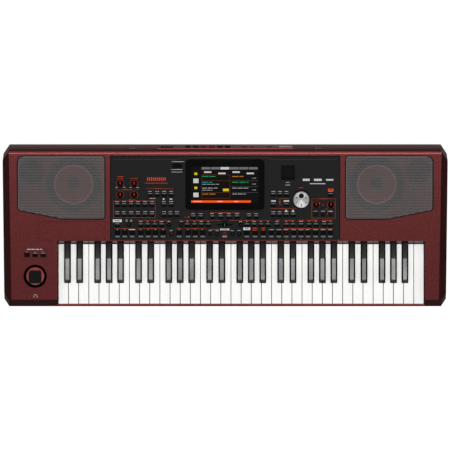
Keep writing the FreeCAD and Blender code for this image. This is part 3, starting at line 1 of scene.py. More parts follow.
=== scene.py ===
"""Dresses an arranger keyboard: red painted deck, dark plastic case, hinged keys, speakers,
control panel, display, joystick and rear sockets."""

import json
import math

import bmesh
import bpy
from bpy.props import FloatProperty, FloatVectorProperty, IntProperty, PointerProperty
from mathutils import Matrix, Vector

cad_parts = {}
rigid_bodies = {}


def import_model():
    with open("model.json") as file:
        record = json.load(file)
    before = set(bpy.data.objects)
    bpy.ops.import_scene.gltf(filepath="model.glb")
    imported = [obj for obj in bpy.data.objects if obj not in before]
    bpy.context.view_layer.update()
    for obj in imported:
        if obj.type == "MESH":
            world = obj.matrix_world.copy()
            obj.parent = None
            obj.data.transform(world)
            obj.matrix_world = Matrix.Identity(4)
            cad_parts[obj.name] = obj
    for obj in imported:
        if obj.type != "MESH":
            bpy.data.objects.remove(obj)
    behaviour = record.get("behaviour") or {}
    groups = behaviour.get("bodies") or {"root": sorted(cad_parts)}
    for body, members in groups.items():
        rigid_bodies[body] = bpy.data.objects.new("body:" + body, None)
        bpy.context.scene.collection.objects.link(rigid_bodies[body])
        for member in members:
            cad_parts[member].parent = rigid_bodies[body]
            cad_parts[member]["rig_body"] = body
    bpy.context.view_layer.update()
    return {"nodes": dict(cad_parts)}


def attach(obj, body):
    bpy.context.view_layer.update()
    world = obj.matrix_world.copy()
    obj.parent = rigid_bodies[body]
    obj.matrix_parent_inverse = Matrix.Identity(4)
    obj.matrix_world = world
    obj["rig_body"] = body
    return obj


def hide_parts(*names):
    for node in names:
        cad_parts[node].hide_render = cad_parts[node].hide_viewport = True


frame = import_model()

bl_info = {
    "name": "Arranger keyboard dresser",
    "version": (1, 0, 0),
    "blender": (4, 5, 0),
    "location": "View3D > Sidebar > Keyboard",
    "description": "Adds finishes, printed legends, grilles and small fittings to an arranger keyboard",
    "category": "Object",
}

# Lengths are millimetres. Points that a function called a spot gives, and the stage, are in metres.
MM = 0.001
ONE = (1, 1, 1)
# The deck slopes up to the rear; its own plane starts at its rear edge.
DECK_SLOPE = math.radians(7.5)
DECK_REAR, DECK_HEIGHT = 170.55, 130.0
SLOPED = Matrix.Rotation(DECK_SLOPE, 4, "X")
DECK = Matrix.Translation((0, DECK_REAR * MM, DECK_HEIGHT * MM)) @ SLOPED
TO_DECK = DECK.inverted()
PANEL_WIDTH, PANEL_DEPTH, PANEL_REAR = 532.5, 196.5, 10.3
# Turns of stamped shapes: along the deck, straight up, and out of the rear wall.
ALONG_DECK, UPRIGHT, OUTWARD = (DECK_SLOPE, 0, 0), (0, 0, 0), (-math.pi / 2, 0, 0)
# The black keys are polished in front of this line.
POLISH_START = -78.0
BUTTON_TOP = 2.0
LINE_WIDTH = 0.5


def in_rows(rows):
    """Places on the control panel, as shares of its width and depth, from {depth: widths}."""
    return [(u, v) for v, row in rows.items() for u in row]


STYLE_ROW = (0.028, 0.058, 0.089, 0.119, 0.150, 0.180)
STYLE_PLACES = in_rows({0.582: STYLE_ROW, 0.703: STYLE_ROW})
MODE_PLACES = in_rows({
    0.460: (0.172, 0.203, 0.233, 0.264, 0.711, 0.740, 0.768, 0.962),
    0.581: (0.233, 0.264, 0.711, 0.768),
    0.703: (0.233, 0.261, 0.289, 0.711, 0.739, 0.768, 0.797),
    0.726: (0.361, 0.393, 0.444, 0.480, 0.517, 0.552, 0.604, 0.636),
})
PLAYER_PLACES = in_rows({
    0.822: (0.028, 0.131, 0.161, 0.192, 0.222, 0.335, 0.366, 0.396, 0.426, 0.595, 0.627,
            0.657, 0.687, 0.727, 0.768, 0.796, 0.832, 0.868, 0.897, 0.933, 0.961),
})
ROUND_PLACES = in_rows({
    0.822: (0.079, 0.254, 0.308, 0.568),
    0.929: (0.264, 0.435, 0.465, 0.531, 0.562),
    0.696: (0.896, 0.928, 0.961),
})
TALL_ROW = 0.933
TALL_LEFT = in_rows({TALL_ROW: (0.029, 0.061, 0.093, 0.131, 0.163, 0.195, 0.228, 0.299, 0.338, 0.369, 0.402)})
TALL_RIGHT = in_rows({
    TALL_ROW: (0.595, 0.631, 0.667, 0.702, 0.735, 0.767, 0.800, 0.832, 0.863, 0.896, 0.929, 0.960),
})
KNOBS = {
    "volume_knob": (0.041, 0.326), "tone_knob": (0.102, 0.326),
    "assign_knob_left": (0.041, 0.460), "assign_knob_right": (0.102, 0.460),
    "voice_level_knob": (0.898, 0.578), "voice_effect_knob": (0.963, 0.578),
}
DIAL, SLIDER, GLASS, PORT = (0.833, 0.515), (0.498, 0.817), (0.499, 0.339), (0.775, 0.195)
START_STOP = (0.498, TALL_ROW)
KEY_GROUPS = [f"keys_{octave}_{part}" for octave in range(1, 6) for part in ("c_e_g_b", "d_f_a", "black")]


def linear(colour):
    """A linear colour from six hexadecimal digits; one that is linear already stays as it is."""
    if not isinstance(colour, str):
        return colour
    values = [int(colour[place:place + 2], 16) / 255 for place in (0, 2, 4)]
    return [value / 12.92 if value <= 0.04045 else ((value + 0.055) / 1.055) ** 2.4 for value in values]


def colour_prop(label, about, code):
    return FloatVectorProperty(name=label, description=about, subtype="COLOR", size=3, min=0, max=1,
                               default=linear(code))


def length_prop(label, about, length):
    return FloatProperty(name=label, description=about, default=length * MM, min=0, unit="LENGTH",
                         subtype="DISTANCE")


class KEYBOARD_PG_colours(bpy.types.PropertyGroup):
    red: colour_prop("Deck red", "Paint of the deck and the key slip", "612828")
    case: colour_prop("Case", "Dark plastic of the end cheeks", "2c1313")
    rear: colour_prop("Rear wall", "Plastic of the rear wall", "502323")
    panel: colour_prop("Control panel", "Satin plastic of the control panel", "1f1f1f")
    button: colour_prop("Buttons", "Plastic of the push buttons", "080808")
    lens: colour_prop("Button lenses", "Milky lens strip on each button", "646262")
    legend: colour_prop("Legends", "Light printed legends", "c8c8c8")
    line: colour_prop("Printed lines", "Warm printed lines", "b84a26")
    white_key: colour_prop("White keys", "Gloss plastic of the white keys", "f8f8f5")
    black_key: colour_prop("Black keys", "Satin plastic of the black keys", "141414")
    grille: colour_prop("Grilles", "Paint of the speaker grilles", "636161")


class KEYBOARD_PG_sizes(bpy.types.PropertyGroup):
    hole_pitch: length_prop("Hole pitch", "Distance between the grille's holes in a row", 3.0)
    row_pitch: length_prop("Row pitch", "Distance between the rows of holes", 3.65)
    hole_width: length_prop("Hole width", "Width of a grille hole", 2.3)
    grille_gap: length_prop("Grille gap", "Dark gap around a grille", 1.2)
    grille_rim: length_prop("Grille rim", "Plain border of a grille", 2.0)
    key_round: length_prop("Key rounding", "Rounding of the keys' edges", 0.7)
    button_round: length_prop("Button rounding", "Rounding of the buttons' edges", 0.45)
    case_round: length_prop("Case rounding", "Rounding of the case's edges", 0.8)
    legend_height: length_prop("Legend height", "Height of a printed legend", 1.2)
    print_lift: length_prop("Print thickness", "Thickness of the printed ink", 0.06)


class KEYBOARD_PG_stage(bpy.types.PropertyGroup):
    camera_height: length_prop("Camera height", "Height of the camera over the floor", 20000)
    frame_width: length_prop("Frame width", "Width seen at the height of the deck", 1049.2)
    seen_height: length_prop("Seen height", "Height at which that width is measured", 95)
    lamp_share: FloatProperty(name="Lamp strength", description="Strength of the studio lamps",
                              default=1.0, min=0)
    legend_seed: IntProperty(name="Legend seed", description="Picks the lengths of the legend bars",
                             default=7, min=1)


def chosen(name):
    """A length from the sidebar, in millimetres."""
    return getattr(bpy.context.scene.keyboard_sizes, name) / MM


def free_spot(x, y, z):
    """A point anywhere."""
    return Vector((x, y, z)) * MM


def deck_spot(x, along, lift=0.0):
    """A point on the sloping deck: across, forward (negative) from its rear edge, and above it."""
    return DECK @ free_spot(x, along, lift)


def panel_spot(place, lift=0.0, shift=(0, 0)):
    """A point on the control panel from its shares, with a shift."""
    u, v = place
    return deck_spot(PANEL_WIDTH * (u - 0.5) + shift[0], shift[1] - PANEL_REAR - PANEL_DEPTH * v, lift)


def plan_spot(x, y, lift=0.0):
    """A point of the deck under a place in plan."""
    return deck_spot(x, (y - DECK_REAR) / math.cos(DECK_SLOPE), lift)


# Finishes

FINISHES = {}
SLOW_SCALE, SLOW_DETAIL = 14.0, 3.0
LINE_SCALE, FLAKE_SCALE, GROOVE_SCALE, DISPLAY_ROW_SCALE = 90.0, 1100.0, 2500.0, 900.0
BUMP_STRENGTH = 0.5


def feed(tree, socket, value):
    """Links a socket to another one or sets its value."""
    if isinstance(value, bpy.types.NodeSocket):
        tree.links.new(value, socket)
    else:
        socket.default_value = value


def fill(tree, node, **values):
    """Sets a node's properties and feeds its inputs by name."""
    for name, value in values.items():
        if name in node.bl_rna.properties:
            setattr(node, name, value)
        else:
            feed(tree, node.inputs[name.replace("_", " ")], value)
    return node


def add(tree, kind, **values):
    return fill(tree, tree.nodes.new(kind), **values)


def new_finish(name):
    """A new material under its name: its tree, its shader and the object's own coordinates."""
    material = bpy.data.materials.new(name)
    material.use_nodes = True
    FINISHES[name] = material
    tree = material.node_tree
    return tree, tree.nodes["Principled BSDF"], add(tree, "ShaderNodeTexCoord").outputs["Object"]


def calc(tree, operation, *sources):
    """The result of one step of arithmetic on sockets and numbers."""
    node = add(tree, "ShaderNodeMath", operation=operation)
    for socket, source in zip(node.inputs, sources):
        feed(tree, socket, source)
    return node.outputs[0]


def noise(tree, coordinates, scale, detail=2.0):
    return add(tree, "ShaderNodeTexNoise", Vector=coordinates, Scale=scale, Detail=detail).outputs["Fac"]


def ranged(tree, source, low, high, start=0.3, end=0.7):
    return add(tree, "ShaderNodeMapRange", Value=source, From_Min=start, From_Max=end,
               To_Min=low, To_Max=high).outputs["Result"]


def mixed(tree, factor, first, second, source=None):
    """A blend of two colours; a source takes the place of the first one."""
    node = add(tree, "ShaderNodeMix", data_type="RGBA")
    feed(tree, node.inputs[0], factor)
    feed(tree, node.inputs[6], source or (*first, 1))
    feed(tree, node.inputs[7], (*second, 1))
    return node.outputs[2]


def shade(colour, share):
    return [min(1.0, value * share) for value in linear(colour)]


def bump(tree, height, depth):
    node = add(tree, "ShaderNodeBump", Strength=BUMP_STRENGTH, Distance=depth * MM, Height=height)
    return node.outputs["Normal"]


def moulded(name, colour, rough, grain=900.0, spread=0.12, depth=0.02, specular=0.5,
            foot=None, rear_rough=None):
    """Moulded plastic, paint or rubber with a fine grain, slow colour drift and uneven gloss.

    It may be paler towards its foot, as painted light thrown back by the floor, and it may be duller to the
    rear.
    """
    tree, shader, spot = new_finish(name)
    fine = noise(tree, spot, grain)
    slow = noise(tree, spot, SLOW_SCALE, SLOW_DETAIL)
    blend = ranged(tree, calc(tree, "MULTIPLY", calc(tree, "ADD", fine, slow), 0.5), 0, 1)
    tint = mixed(tree, blend, shade(colour, 1 - spread), shade(colour, 1 + spread))
    gloss = ranged(tree, slow, rough - 0.05, rough + 0.05)
    if foot or rear_rough:
        place = add(tree, "ShaderNodeSeparateXYZ", Vector=spot).outputs
    if foot:
        # Painted bounce light: paler towards the foot.
        low = ranged(tree, place["Z"], 1, 0, 30 * MM, 120 * MM)
        tint = mixed(tree, low, linear(colour), linear(foot), tint)
    if rear_rough:
        gloss = ranged(tree, place["Y"], rough, rear_rough, POLISH_START * MM, -20 * MM)
    fill(tree, shader, Base_Color=tint, Roughness=gloss, Specular_IOR_Level=specular,
         Normal=bump(tree, fine, depth))


def brushed(name, colour, rough):
    """Metal with fine lines drawn along one direction."""
    tree, shader, spot = new_finish(name)
    drawn = add(tree, "ShaderNodeMapping", Vector=spot, Scale=(1, 60, 1)).outputs["Vector"]
    lines = noise(tree, drawn, LINE_SCALE, 4.0)
    tint = mixed(tree, ranged(tree, lines, 0, 1), shade(colour, 0.8), shade(colour, 1.15))
    gloss = ranged(tree, lines, rough - 0.06, rough + 0.08)
    fill(tree, shader, Base_Color=tint, Roughness=gloss, Metallic=1.0, Normal=bump(tree, lines, 0.01))


def lit(name, colour, strength):
    """A lit screen area or lamp, with fine rows as on a display."""
    tree, shader, spot = new_finish(name)
    rows = add(tree, "ShaderNodeTexWave", bands_direction="Y", Vector=spot, Scale=DISPLAY_ROW_SCALE)
    toned = mixed(tree, ranged(tree, rows.outputs["Fac"], 0, 1), shade(colour, 0.86), linear(colour))
    fill(tree, shader, Base_Color=(*shade(colour, 0.06), 1), Emission_Color=toned, Emission_Strength=strength,
         Roughness=0.4, Specular_IOR_Level=0.05)


def flaked_paint(name, colour, metallic=0.5, flake=1.0):
    """Metallic paint with fine flakes of a given strength."""
    tree, shader, spot = new_finish(name)
    flakes = add(tree, "ShaderNodeTexVoronoi", Vector=spot, Scale=FLAKE_SCALE).outputs["Color"]
    sparkle = add(tree, "ShaderNodeSeparateColor", Color=flakes).outputs
    tint = mixed(tree, ranged(tree, sparkle["Red"], 0, 1), shade(colour, 1 - 0.07 * flake),
                 shade(colour, 1 + 0.08 * flake))
    gloss = ranged(tree, sparkle["Green"], 0.29 - 0.05 * flake, 0.29 + 0.05 * flake)
    fill(tree, shader, Base_Color=tint, Roughness=gloss, Metallic=metallic, Specular_IOR_Level=0.15,
         Normal=bump(tree, sparkle["Blue"], 0.004 * flake))


def spun(name, colour, centre):
    """Turned metal with a sheen painted into its colour, fanning out around a centre."""
    tree, shader, spot = new_finish(name)
    moved = add(tree, "ShaderNodeVectorMath", operation="SUBTRACT", Vector=spot)
    moved.inputs[1].default_value = centre
    parts = add(tree, "ShaderNodeSeparateXYZ", Vector=moved.outputs[0]).outputs
    turn = calc(tree, "ARCTAN2", parts["X"], parts["Y"])
    painted_sheen_fan = calc(tree, "COSINE", calc(tree, "MULTIPLY", turn, 2.0))
    tint = mixed(tree, ranged(tree, painted_sheen_fan, 0, 1, -1.0, 1.0), shade(colour, 0.56), shade(colour, 1.3))
    reach = add(tree, "ShaderNodeVectorMath", operation="LENGTH", Vector=moved.outputs[0]).outputs["Value"]
    grooves = noise(tree, reach, GROOVE_SCALE)
    fill(tree, shader, Base_Color=tint, Roughness=ranged(tree, grooves, 0.34, 0.48), Metallic=0.3)


def white_floor():
    """A floor that is white to the camera and in reflections and still takes the shadow."""
    tree, shader, spot = new_finish("white_floor")
    toned = mixed(tree, ranged(tree, noise(tree, spot, 3.0), 0, 1), (0.3, 0.3, 0.3), (0.32, 0.32, 0.32))
    fill(tree, shader, Base_Color=toned, Roughness=0.9)
    rays = add(tree, "ShaderNodeLightPath").outputs
    seen = calc(tree, "MAXIMUM", rays["Is Camera Ray"], rays["Is Glossy Ray"])
    seen = calc(tree, "MAXIMUM", seen, rays["Is Transmission Ray"])
    glow = add(tree, "ShaderNodeEmission", Color=(1, 1, 1, 1), Strength=calc(tree, "MULTIPLY", seen, 0.88))
    both = add(tree, "ShaderNodeAddShader")
    tree.links.new(shader.outputs[0], both.inputs[0])
    tree.links.new(glow.outputs[0], both.inputs[1])
    fill(tree, tree.nodes["Material Output"], Surface=both.outputs[0])


# Mesh helpers

SHARP_ANGLE, SMOOTH_ANGLE, FLAT_ANGLE = math.radians(28), math.radians(40), math.radians(0.6)
SAME_SPOT = 1e-6


def link(name, data):
    thing = bpy.data.objects.new(name, data)
    bpy.context.scene.collection.objects.link(thing)
    return thing


def meshed(name, bm):
    """A mesh from shaped faces, which are used up."""
    mesh = bpy.data.meshes.new(name)
    bm.to_mesh(mesh)
    bm.free()
    return mesh


def plain_mesh(thing):
    """The mesh that an object shows, which takes the object's place."""
    bpy.context.view_layer.update()
    mesh = bpy.data.meshes.new_from_object(thing.evaluated_get(bpy.context.evaluated_depsgraph_get()))
    bpy.data.batch_remove([thing, thing.data])
    return mesh


def coat(mesh, finish):
    mesh.materials.clear()
    mesh.materials.append(FINISHES[finish])


def finished(name, mesh, finish, body, node=None):
    """Puts a mesh in place as a piece that rides on a body and may stand for a solid."""
    mesh.name = name
    piece = link(name, mesh)
    coat(mesh, finish)
    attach(piece, body)
    if node:
        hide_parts(node)


def body_of(node):
    return frame["nodes"][node]["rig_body"]


def paint_node(node, finish):
    """Gives a solid that stays as it is a better finish."""
    coat(frame["nodes"][node].data, finish)


def centre(face):
    return face.calc_center_median() / MM


def deck_centre(face):
    """A face's centre in the deck's own plane."""
    return TO_DECK @ face.calc_center_median() / MM


def merged_copy(node, cuts=(), part_of=None):
    """A solid's mesh with its triangles joined into clean faces and sorted into parts.

    It is cut along planes, each given as a spot and a direction.
    """
    bm = bmesh.new()
    bm.from_mesh(frame["nodes"][node].data)
    bmesh.ops.remove_doubles(bm, verts=bm.verts, dist=SAME_SPOT)
    for spot, normal in cuts:
        everything = bm.verts[:] + bm.edges[:] + bm.faces[:]
        bmesh.ops.bisect_plane(bm, geom=everything, plane_co=spot, plane_no=normal)
    for face in bm.faces:
        face.material_index = part_of(face) if part_of else 0
    bmesh.ops.dissolve_limit(bm, angle_limit=FLAT_ANGLE, verts=bm.verts, edges=bm.edges, delimit={"MATERIAL"})
    return bm


def round_edges(bm, width, segments):
    sharp = [edge for edge in bm.edges if len(edge.link_faces) == 2 and edge.calc_face_angle(0) > SHARP_ANGLE]
    bmesh.ops.bevel(bm, geom=sharp, offset=width * MM, offset_type="OFFSET", segments=segments, profile=0.5,
                    affect="EDGES", clamp_overlap=True)


def smoothed(name, bm):
    """A mesh with smooth faces whose broad flats keep straight normals."""
    mesh = meshed(name, bm)
    mesh.shade_smooth()
    mesh.set_sharp_from_angle(angle=SMOOTH_ANGLE)
    thing = link(name, mesh)
    thing.modifiers.new("weights", "WEIGHTED_NORMAL").keep_sharp = True
    return plain_mesh(thing)


def rounded_node(node, width, finish, slot, segments=2):
    """A rounded stand-in for a solid."""
    parted_node(node, width, ((f"{node}_shown", finish, slot),), segments=segments)


def parted_node(node, width, looks, part_of=None, cuts=(), segments=2):
    """Rounded pieces that stand for one solid together: (name, finish, slot) for each of its parts."""
    bm = merged_copy(node, cuts, part_of)
    round_edges(bm, width, segments)
    for index, (name, finish, slot) in enumerate(looks):
        part = bm.copy()
        others = [face for face in part.faces if face.material_index != index]
        bmesh.ops.delete(part, geom=others, context="FACES")
        for face in part.faces:
            face.material_index = 0
        finished(name, smoothed(name, part), finish, body_of(node), node)
    bm.free()


def slab(size, rounding=0.0):
    """A block about the origin, with its edges rounded."""
    bm = bmesh.new()
    bmesh.ops.create_cube(bm, size=MM)
    bmesh.ops.scale(bm, vec=size, verts=bm.verts)
    if rounding:
        round_edges(bm, rounding, 1)
    return bm


def lofted(loops, closed=False, capped=False):
    """Walls between neighbouring loops of points; the last loop may join the first, or both ends get caps."""
    bm = bmesh.new()
    rings = [[bm.verts.new(free_spot(*point)) for point in loop] for loop in loops]
    for low, high in zip(rings, rings[1:] + rings[:1] if closed else rings[1:]):
        for step in range(len(low)):
            after = (step + 1) % len(low)
            bm.faces.new((low[step], low[after], high[after], high[step]))
    if capped:
        bm.faces.new(rings[-1])
        bm.faces.new(list(reversed(rings[0])))
    return bm


def circle(reach, level, sides):
    turns = [math.tau * step / sides for step in range(sides)]
    return [(reach * math.cos(turn), reach * math.sin(turn), level) for turn in turns]


def disc(radius, height, sides, chamfer=0.0):
    """A short cylinder that stands on the origin, with a chamfered top."""
    loops = [circle(radius, 0, sides), circle(radius, height - chamfer, sides)]
    if chamfer:
        loops.append(circle(radius - chamfer, height, sides))
    return lofted(loops, capped=True)


def tube(inner, outer, height, sides=24):
    """A ring that stands on the origin."""
    profile = ((inner, 0), (outer, 0), (outer, height), (inner, height))
    return lofted([circle(reach, level, sides) for reach, level in profile], closed=True)


def arc(inner, outer, start, end, steps=20):
    """A flat printed arc about the origin, between two angles from straight ahead of the player."""
    height = chosen("print_lift")
    profile = ((inner, 0), (inner, height), (outer, height), (outer, 0))
    turns = [math.radians(start + (end - start) * step / steps) for step in range(steps + 1)]
    return lofted([[(reach * math.sin(turn), reach * math.cos(turn), level) for reach, level in profile]
                   for turn in turns], capped=True)


def at(spot):
    """A place on the deck's slope."""
    return Matrix.Translation(spot) @ SLOPED


def gathered(name, parts, finish, body="case", node=None):
    """One piece from several (shape, matrix) parts."""
    bm = bmesh.new()
    for shape, matrix in parts:
        mesh = meshed(name, shape)
        mesh.transform(matrix)
        bm.from_mesh(mesh)
        bpy.data.meshes.remove(mesh)
    bmesh.ops.recalc_face_normals(bm, faces=bm.faces)
    finished(name, smoothed(name, bm), finish, body, node)


def stamp_tree():
    """A node tree that stamps one small shape at many places, each with its own size."""
    tree = bpy.data.node_groups.get("Stamps")
    if tree:
        return tree
    tree = bpy.data.node_groups.new("Stamps", "GeometryNodeTree")
    sockets = {"Places": "Geometry", "Stamp": "Object", "Turn": "Vector", "Finish": "Material"}
    for name, kind in sockets.items():
        tree.interface.new_socket(name, in_out="INPUT", socket_type=f"NodeSocket{kind}")
    tree.interface.new_socket("Geometry", in_out="OUTPUT", socket_type="NodeSocketGeometry")
    given = add(tree, "NodeGroupInput").outputs
    points = add(tree, "GeometryNodeMeshToPoints", Mesh=given["Places"])
    shape = add(tree, "GeometryNodeObjectInfo", Object=given["Stamp"])
    size = add(tree, "GeometryNodeInputNamedAttribute", data_type="FLOAT_VECTOR", Name="stamp_size")
    stamps = add(tree, "GeometryNodeInstanceOnPoints", Points=points.outputs["Points"],
                 Instance=shape.outputs["Geometry"], Rotation=given["Turn"], Scale=size.outputs["Attribute"])
    whole = add(tree, "GeometryNodeRealizeInstances", Geometry=stamps.outputs["Instances"])
    dressed = add(tree, "GeometryNodeSetMaterial", Geometry=whole.outputs["Geometry"],
                  Material=given["Finish"])
    add(tree, "NodeGroupOutput", Geometry=dressed.outputs["Geometry"])
    return tree


def stamped(name, stamps, shape, finish, body="case", turn=ALONG_DECK):
    """One piece made of a small shape at many (spot, size) places."""
    tree = stamp_tree()
    stamp = link(f"{name}_stamp", meshed(f"{name}_stamp", shape))
    places = bpy.data.meshes.new(f"{name}_places")
    places.from_pydata([tuple(spot) for spot, size in stamps], [], [])
    sizes = places.attributes.new("stamp_size", "FLOAT_VECTOR", "POINT")
    for index, (spot, size) in enumerate(stamps):
        sizes.data[index].vector = size
    holder = link(f"{name}_holder", places)
    modifier = holder.modifiers.new("stamps", "NODES")
    modifier.node_group = tree
    values = {"Stamp": stamp, "Turn": turn, "Finish": FINISHES[finish]}
    for item in tree.interface.items_tree:
        if item.in_out == "INPUT" and item.name in values:
            modifier[item.identifier] = values[item.name]
    mesh = plain_mesh(holder)
    bpy.data.batch_remove([stamp, stamp.data])
    if not mesh.polygons:
        raise RuntimeError(f"{name} came out empty")
    finished(name, mesh, finish, body)


# Print on the panel and the deck

DASH_LEAST, DASH_MORE, DASH_GAP, DASH_REST, DASH_KINDS = 1.0, 1.7, 0.7, 0.6, 13
# Warm lines along the panel's width: {share of depth: (start, end) shares of width}
LINE_ROWS = {
    0.386: ((0.157, 0.275),), 0.399: ((0.021, 0.122),), 0.673: ((0.433, 0.564),), 0.625: ((0.699, 0.809),),
    0.765: ((0.117, 0.262), (0.297, 0.481), (0.516, 0.699)),
    0.862: ((0.017, 0.104), (0.117, 0.240), (0.323, 0.415), (0.757, 0.971)),
}
# Headings and labels away from buttons: share of width, share of depth and width
HEADINGS = (
    (0.042, 0.242, 13), (0.042, 0.266, 13), (0.102, 0.265, 16), (0.199, 0.320, 52), (0.833, 0.375, 11),
    (0.209, 0.386, 14), (0.072, 0.399, 26), (0.498, 0.673, 22), (0.754, 0.625, 12), (0.190, 0.765, 12),
    (0.389, 0.765, 14), (0.610, 0.765, 20), (0.731, 0.765, 8), (0.782, 0.765, 26), (0.833, 0.765, 16),
    (0.880, 0.765, 26), (0.945, 0.765, 24), (0.060, 0.862, 12), (0.180, 0.862, 18), (0.299, 0.862, 11),
    (0.369, 0.862, 14), (0.818, 0.862, 62), (0.450, 0.873, 22), (0.328, 0.727, 4), (0.092, 0.522, 16),
    (0.930, 0.507, 18),
)
LOOSE_LABELS = (
    (0.026, 0.371, 5), (0.059, 0.371, 5), (0.087, 0.373, 6), (0.117, 0.373, 6), (0.294, 0.064, 29),
    (0.288, 0.158, 27), (0.288, 0.188, 25), (0.183, 0.503, 14), (0.774, 0.312, 9), (0.774, 0.343, 11),
    (0.909, 0.560, 8), (0.962, 0.660, 10),
)
# White patches: place, width and depth
WHITE_PATCHES = (
    ((0.028, 0.770), 20.5, 6.4), ((0.498, 0.874), 21.5, 3.8), ((0.5945, 0.866), 16.0, 6.0),
    ((0.7115, 0.535), 10.6, 3.4), ((0.768, 0.535), 12.4, 3.4), ((0.767, 0.653), 3.6, 5.0),
    ((0.797, 0.653), 3.6, 5.0), ((0.231, 0.511), 3.2, 3.2), ((0.263, 0.511), 6.0, 2.2),
    ((0.092, 0.876), 15, 1.6),
)


def inked(name, bars, finish):
    """Printed bars: (spot, width, depth), laid on the deck's slope."""
    ink = chosen("print_lift")
    stamped(name, [(spot, (width, depth, ink)) for spot, width, depth in bars], slab(ONE), finish)


def patches(marks, lift):
    """Printed bars from (place on the panel, width, depth) marks."""
    return [(panel_spot(place, lift), width, depth) for place, width, depth in marks]


def legend_bars(place, number, width, shift=0.0):
    """A short row of dashes that stands for a label, around a place on the panel."""
    seed = bpy.context.scene.keyboard_stage.legend_seed
    lift = chosen("print_lift") / 2
    bars = []
    cursor = -width / 2
    while cursor < width / 2 - DASH_REST:
        # Primes mix the label's number, the dash's place and the seed into one of a few lengths.
        share = (number * 37 + len(bars) * 53 + seed * 11) % DASH_KINDS / DASH_KINDS
        dash = min(DASH_LEAST + DASH_MORE * share, width / 2 - cursor)
        bars.append((panel_spot(place, lift, (cursor + dash / 2, shift)), dash, chosen("legend_height")))
        cursor += dash + DASH_GAP
    return bars


def labels(rows, first=0):
    """Dashes for (share of width, share of depth, label width) rows, numbered from the first."""
    bars = []
    for number, (u, v, width) in enumerate(rows, first):
        bars += legend_bars((u, v), number, width)
    return bars


def lines_along(corners):
    """Printed lines from corner to corner of a path whose legs run along the panel's edges."""
    lift = chosen("print_lift") / 2
    lines = []
    for start, end in zip(corners, corners[1:]):
        first, last = panel_spot(start, lift), panel_spot(end, lift)
        span = (last - first) / MM
        across = abs(span.x) > abs(span.y)
        lines.append(((first + last) / 2, abs(span.x) if across else LINE_WIDTH,
                      LINE_WIDTH if across else span.length))
    return lines


def boxed(left, rear, right, front):
    return lines_along(((left, rear), (right, rear), (right, front), (left, front), (left, rear)))


def numbered(name, marks, finish):
    """Printed numbers: (text, spot, height) on the deck's slope, as one flat piece."""
    bm = bmesh.new()
    for text, spot, height in marks:
        curve = bpy.data.curves.new("number", "FONT")
        curve.body = text
        curve.size = height * MM
        curve.align_x = curve.align_y = "CENTER"
        curve.resolution_u = 2
        mesh = plain_mesh(link("number", curve))
        mesh.transform(at(spot))
        bm.from_mesh(mesh)
        bpy.data.meshes.remove(mesh)
    bmesh.ops.remove_doubles(bm, verts=bm.verts, dist=SAME_SPOT)
    finished(name, meshed(name, bm), finish, "case")


# Outlines of the speaker grilles, in the deck's own plane

GRILLE_INNER, GRILLE_OUTER, GRILLE_REAR, GRILLE_FRONT = 280.2, 483.8, -9.8, -157.8
GRILLE_SLANT = (105.5, 21.4)
GRILLE_CORNER, GRILLE_OUTER_CORNER, LEAST_CORNER = 7, 15, 0.2


def grille_corners(side):
    slant_run, slant_rise = GRILLE_SLANT
    corners = [(GRILLE_INNER, GRILLE_REAR), (GRILLE_INNER, GRILLE_FRONT),
               (GRILLE_OUTER - slant_run, GRILLE_FRONT), (GRILLE_OUTER, GRILLE_FRONT + slant_rise),
               (GRILLE_OUTER, GRILLE_REAR)]
    return [Vector((side * x, y)) for x, y in corners]


def pulled_in(corners, margin):
    """The outline moved inwards by a margin on each side."""
    middle = sum(corners, Vector((0, 0))) / len(corners)
    lines = []
    for first, last in zip(corners, corners[1:] + corners[:1]):
        along = (last - first).normalized()
        inward = Vector((-along.y, along.x))
        if inward.dot(middle - first) < 0:
            inward.negate()
        lines.append((first + inward * margin, along))
    moved = []
    for (spot, way), (other, turn) in zip(lines[-1:] + lines[:-1], lines):
        gap = other - spot
        reach = (gap.x * turn.y - gap.y * turn.x) / (way.x * turn.y - way.y * turn.x)
        moved.append(spot + way * reach)
    return moved


def rounded_outline(corners, radii, steps=6):
    """The outline's points with each corner turned into an arc."""
    points = []
    for place, (corner, radius) in enumerate(zip(corners, radii)):
        back = (corners[place - 1] - corner).normalized()
        ahead = (corners[(place + 1) % len(corners)] - corner).normalized()
        half = back.angle(ahead) / 2
        middle = corner + (back + ahead).normalized() * (radius / math.sin(half))
        start = corner + back * (radius / math.tan(half)) - middle
        end = corner + ahead * (radius / math.tan(half)) - middle
        sweep = start.angle_signed(end)
        for step in range(steps + 1):
            turn = Matrix.Rotation(-sweep * step / steps, 2)
            points.append(middle + turn @ start)
    return points


def grille_outline(side, margin):
    """The grille's rounded outline, moved inwards by a margin."""
    radii = [max(corner - margin, LEAST_CORNER) for corner in [GRILLE_CORNER] * 4 + [GRILLE_OUTER_CORNER]]
    return rounded_outline(pulled_in(grille_corners(side), margin), radii)


def inside(point, corners):
    """Whether a point is inside a convex outline."""
    signs = [(last - first).cross(point - first) for first, last in zip(corners, corners[1:] + corners[:1])]
    return all(sign >= 0 for sign in signs) or all(sign <= 0 for sign in signs)


def hole_cell(across, along, hole, thickness):
    """A rectangular cell of sheet with a rounded square hole through it."""
    ways = ((1, 0), (1, 1), (0, 1), (-1, 1), (-1, 0), (-1, -1), (0, -1), (1, -1))
    corner_share = 0.8
    rim = [(x * across / 2, y * along / 2, 0) for x, y in ways]
    reaches = [hole / 2 * (corner_share if x and y else 1) for x, y in ways]
    walls = [[(x * reach, y * reach, level) for (x, y), reach in zip(ways, reaches)]
             for level in (0, -thickness)]
    return lofted([rim] + walls)


def grille_ring(side, start, end, level, thick):
    """A flat ring that follows a grille's outline between two margins."""
    profile = ((start, level - thick), (start, level), (end, level), (end, level - thick))
    return lofted([[(*point, height) for point in grille_outline(side, margin)]
                   for margin, height in profile], closed=True)


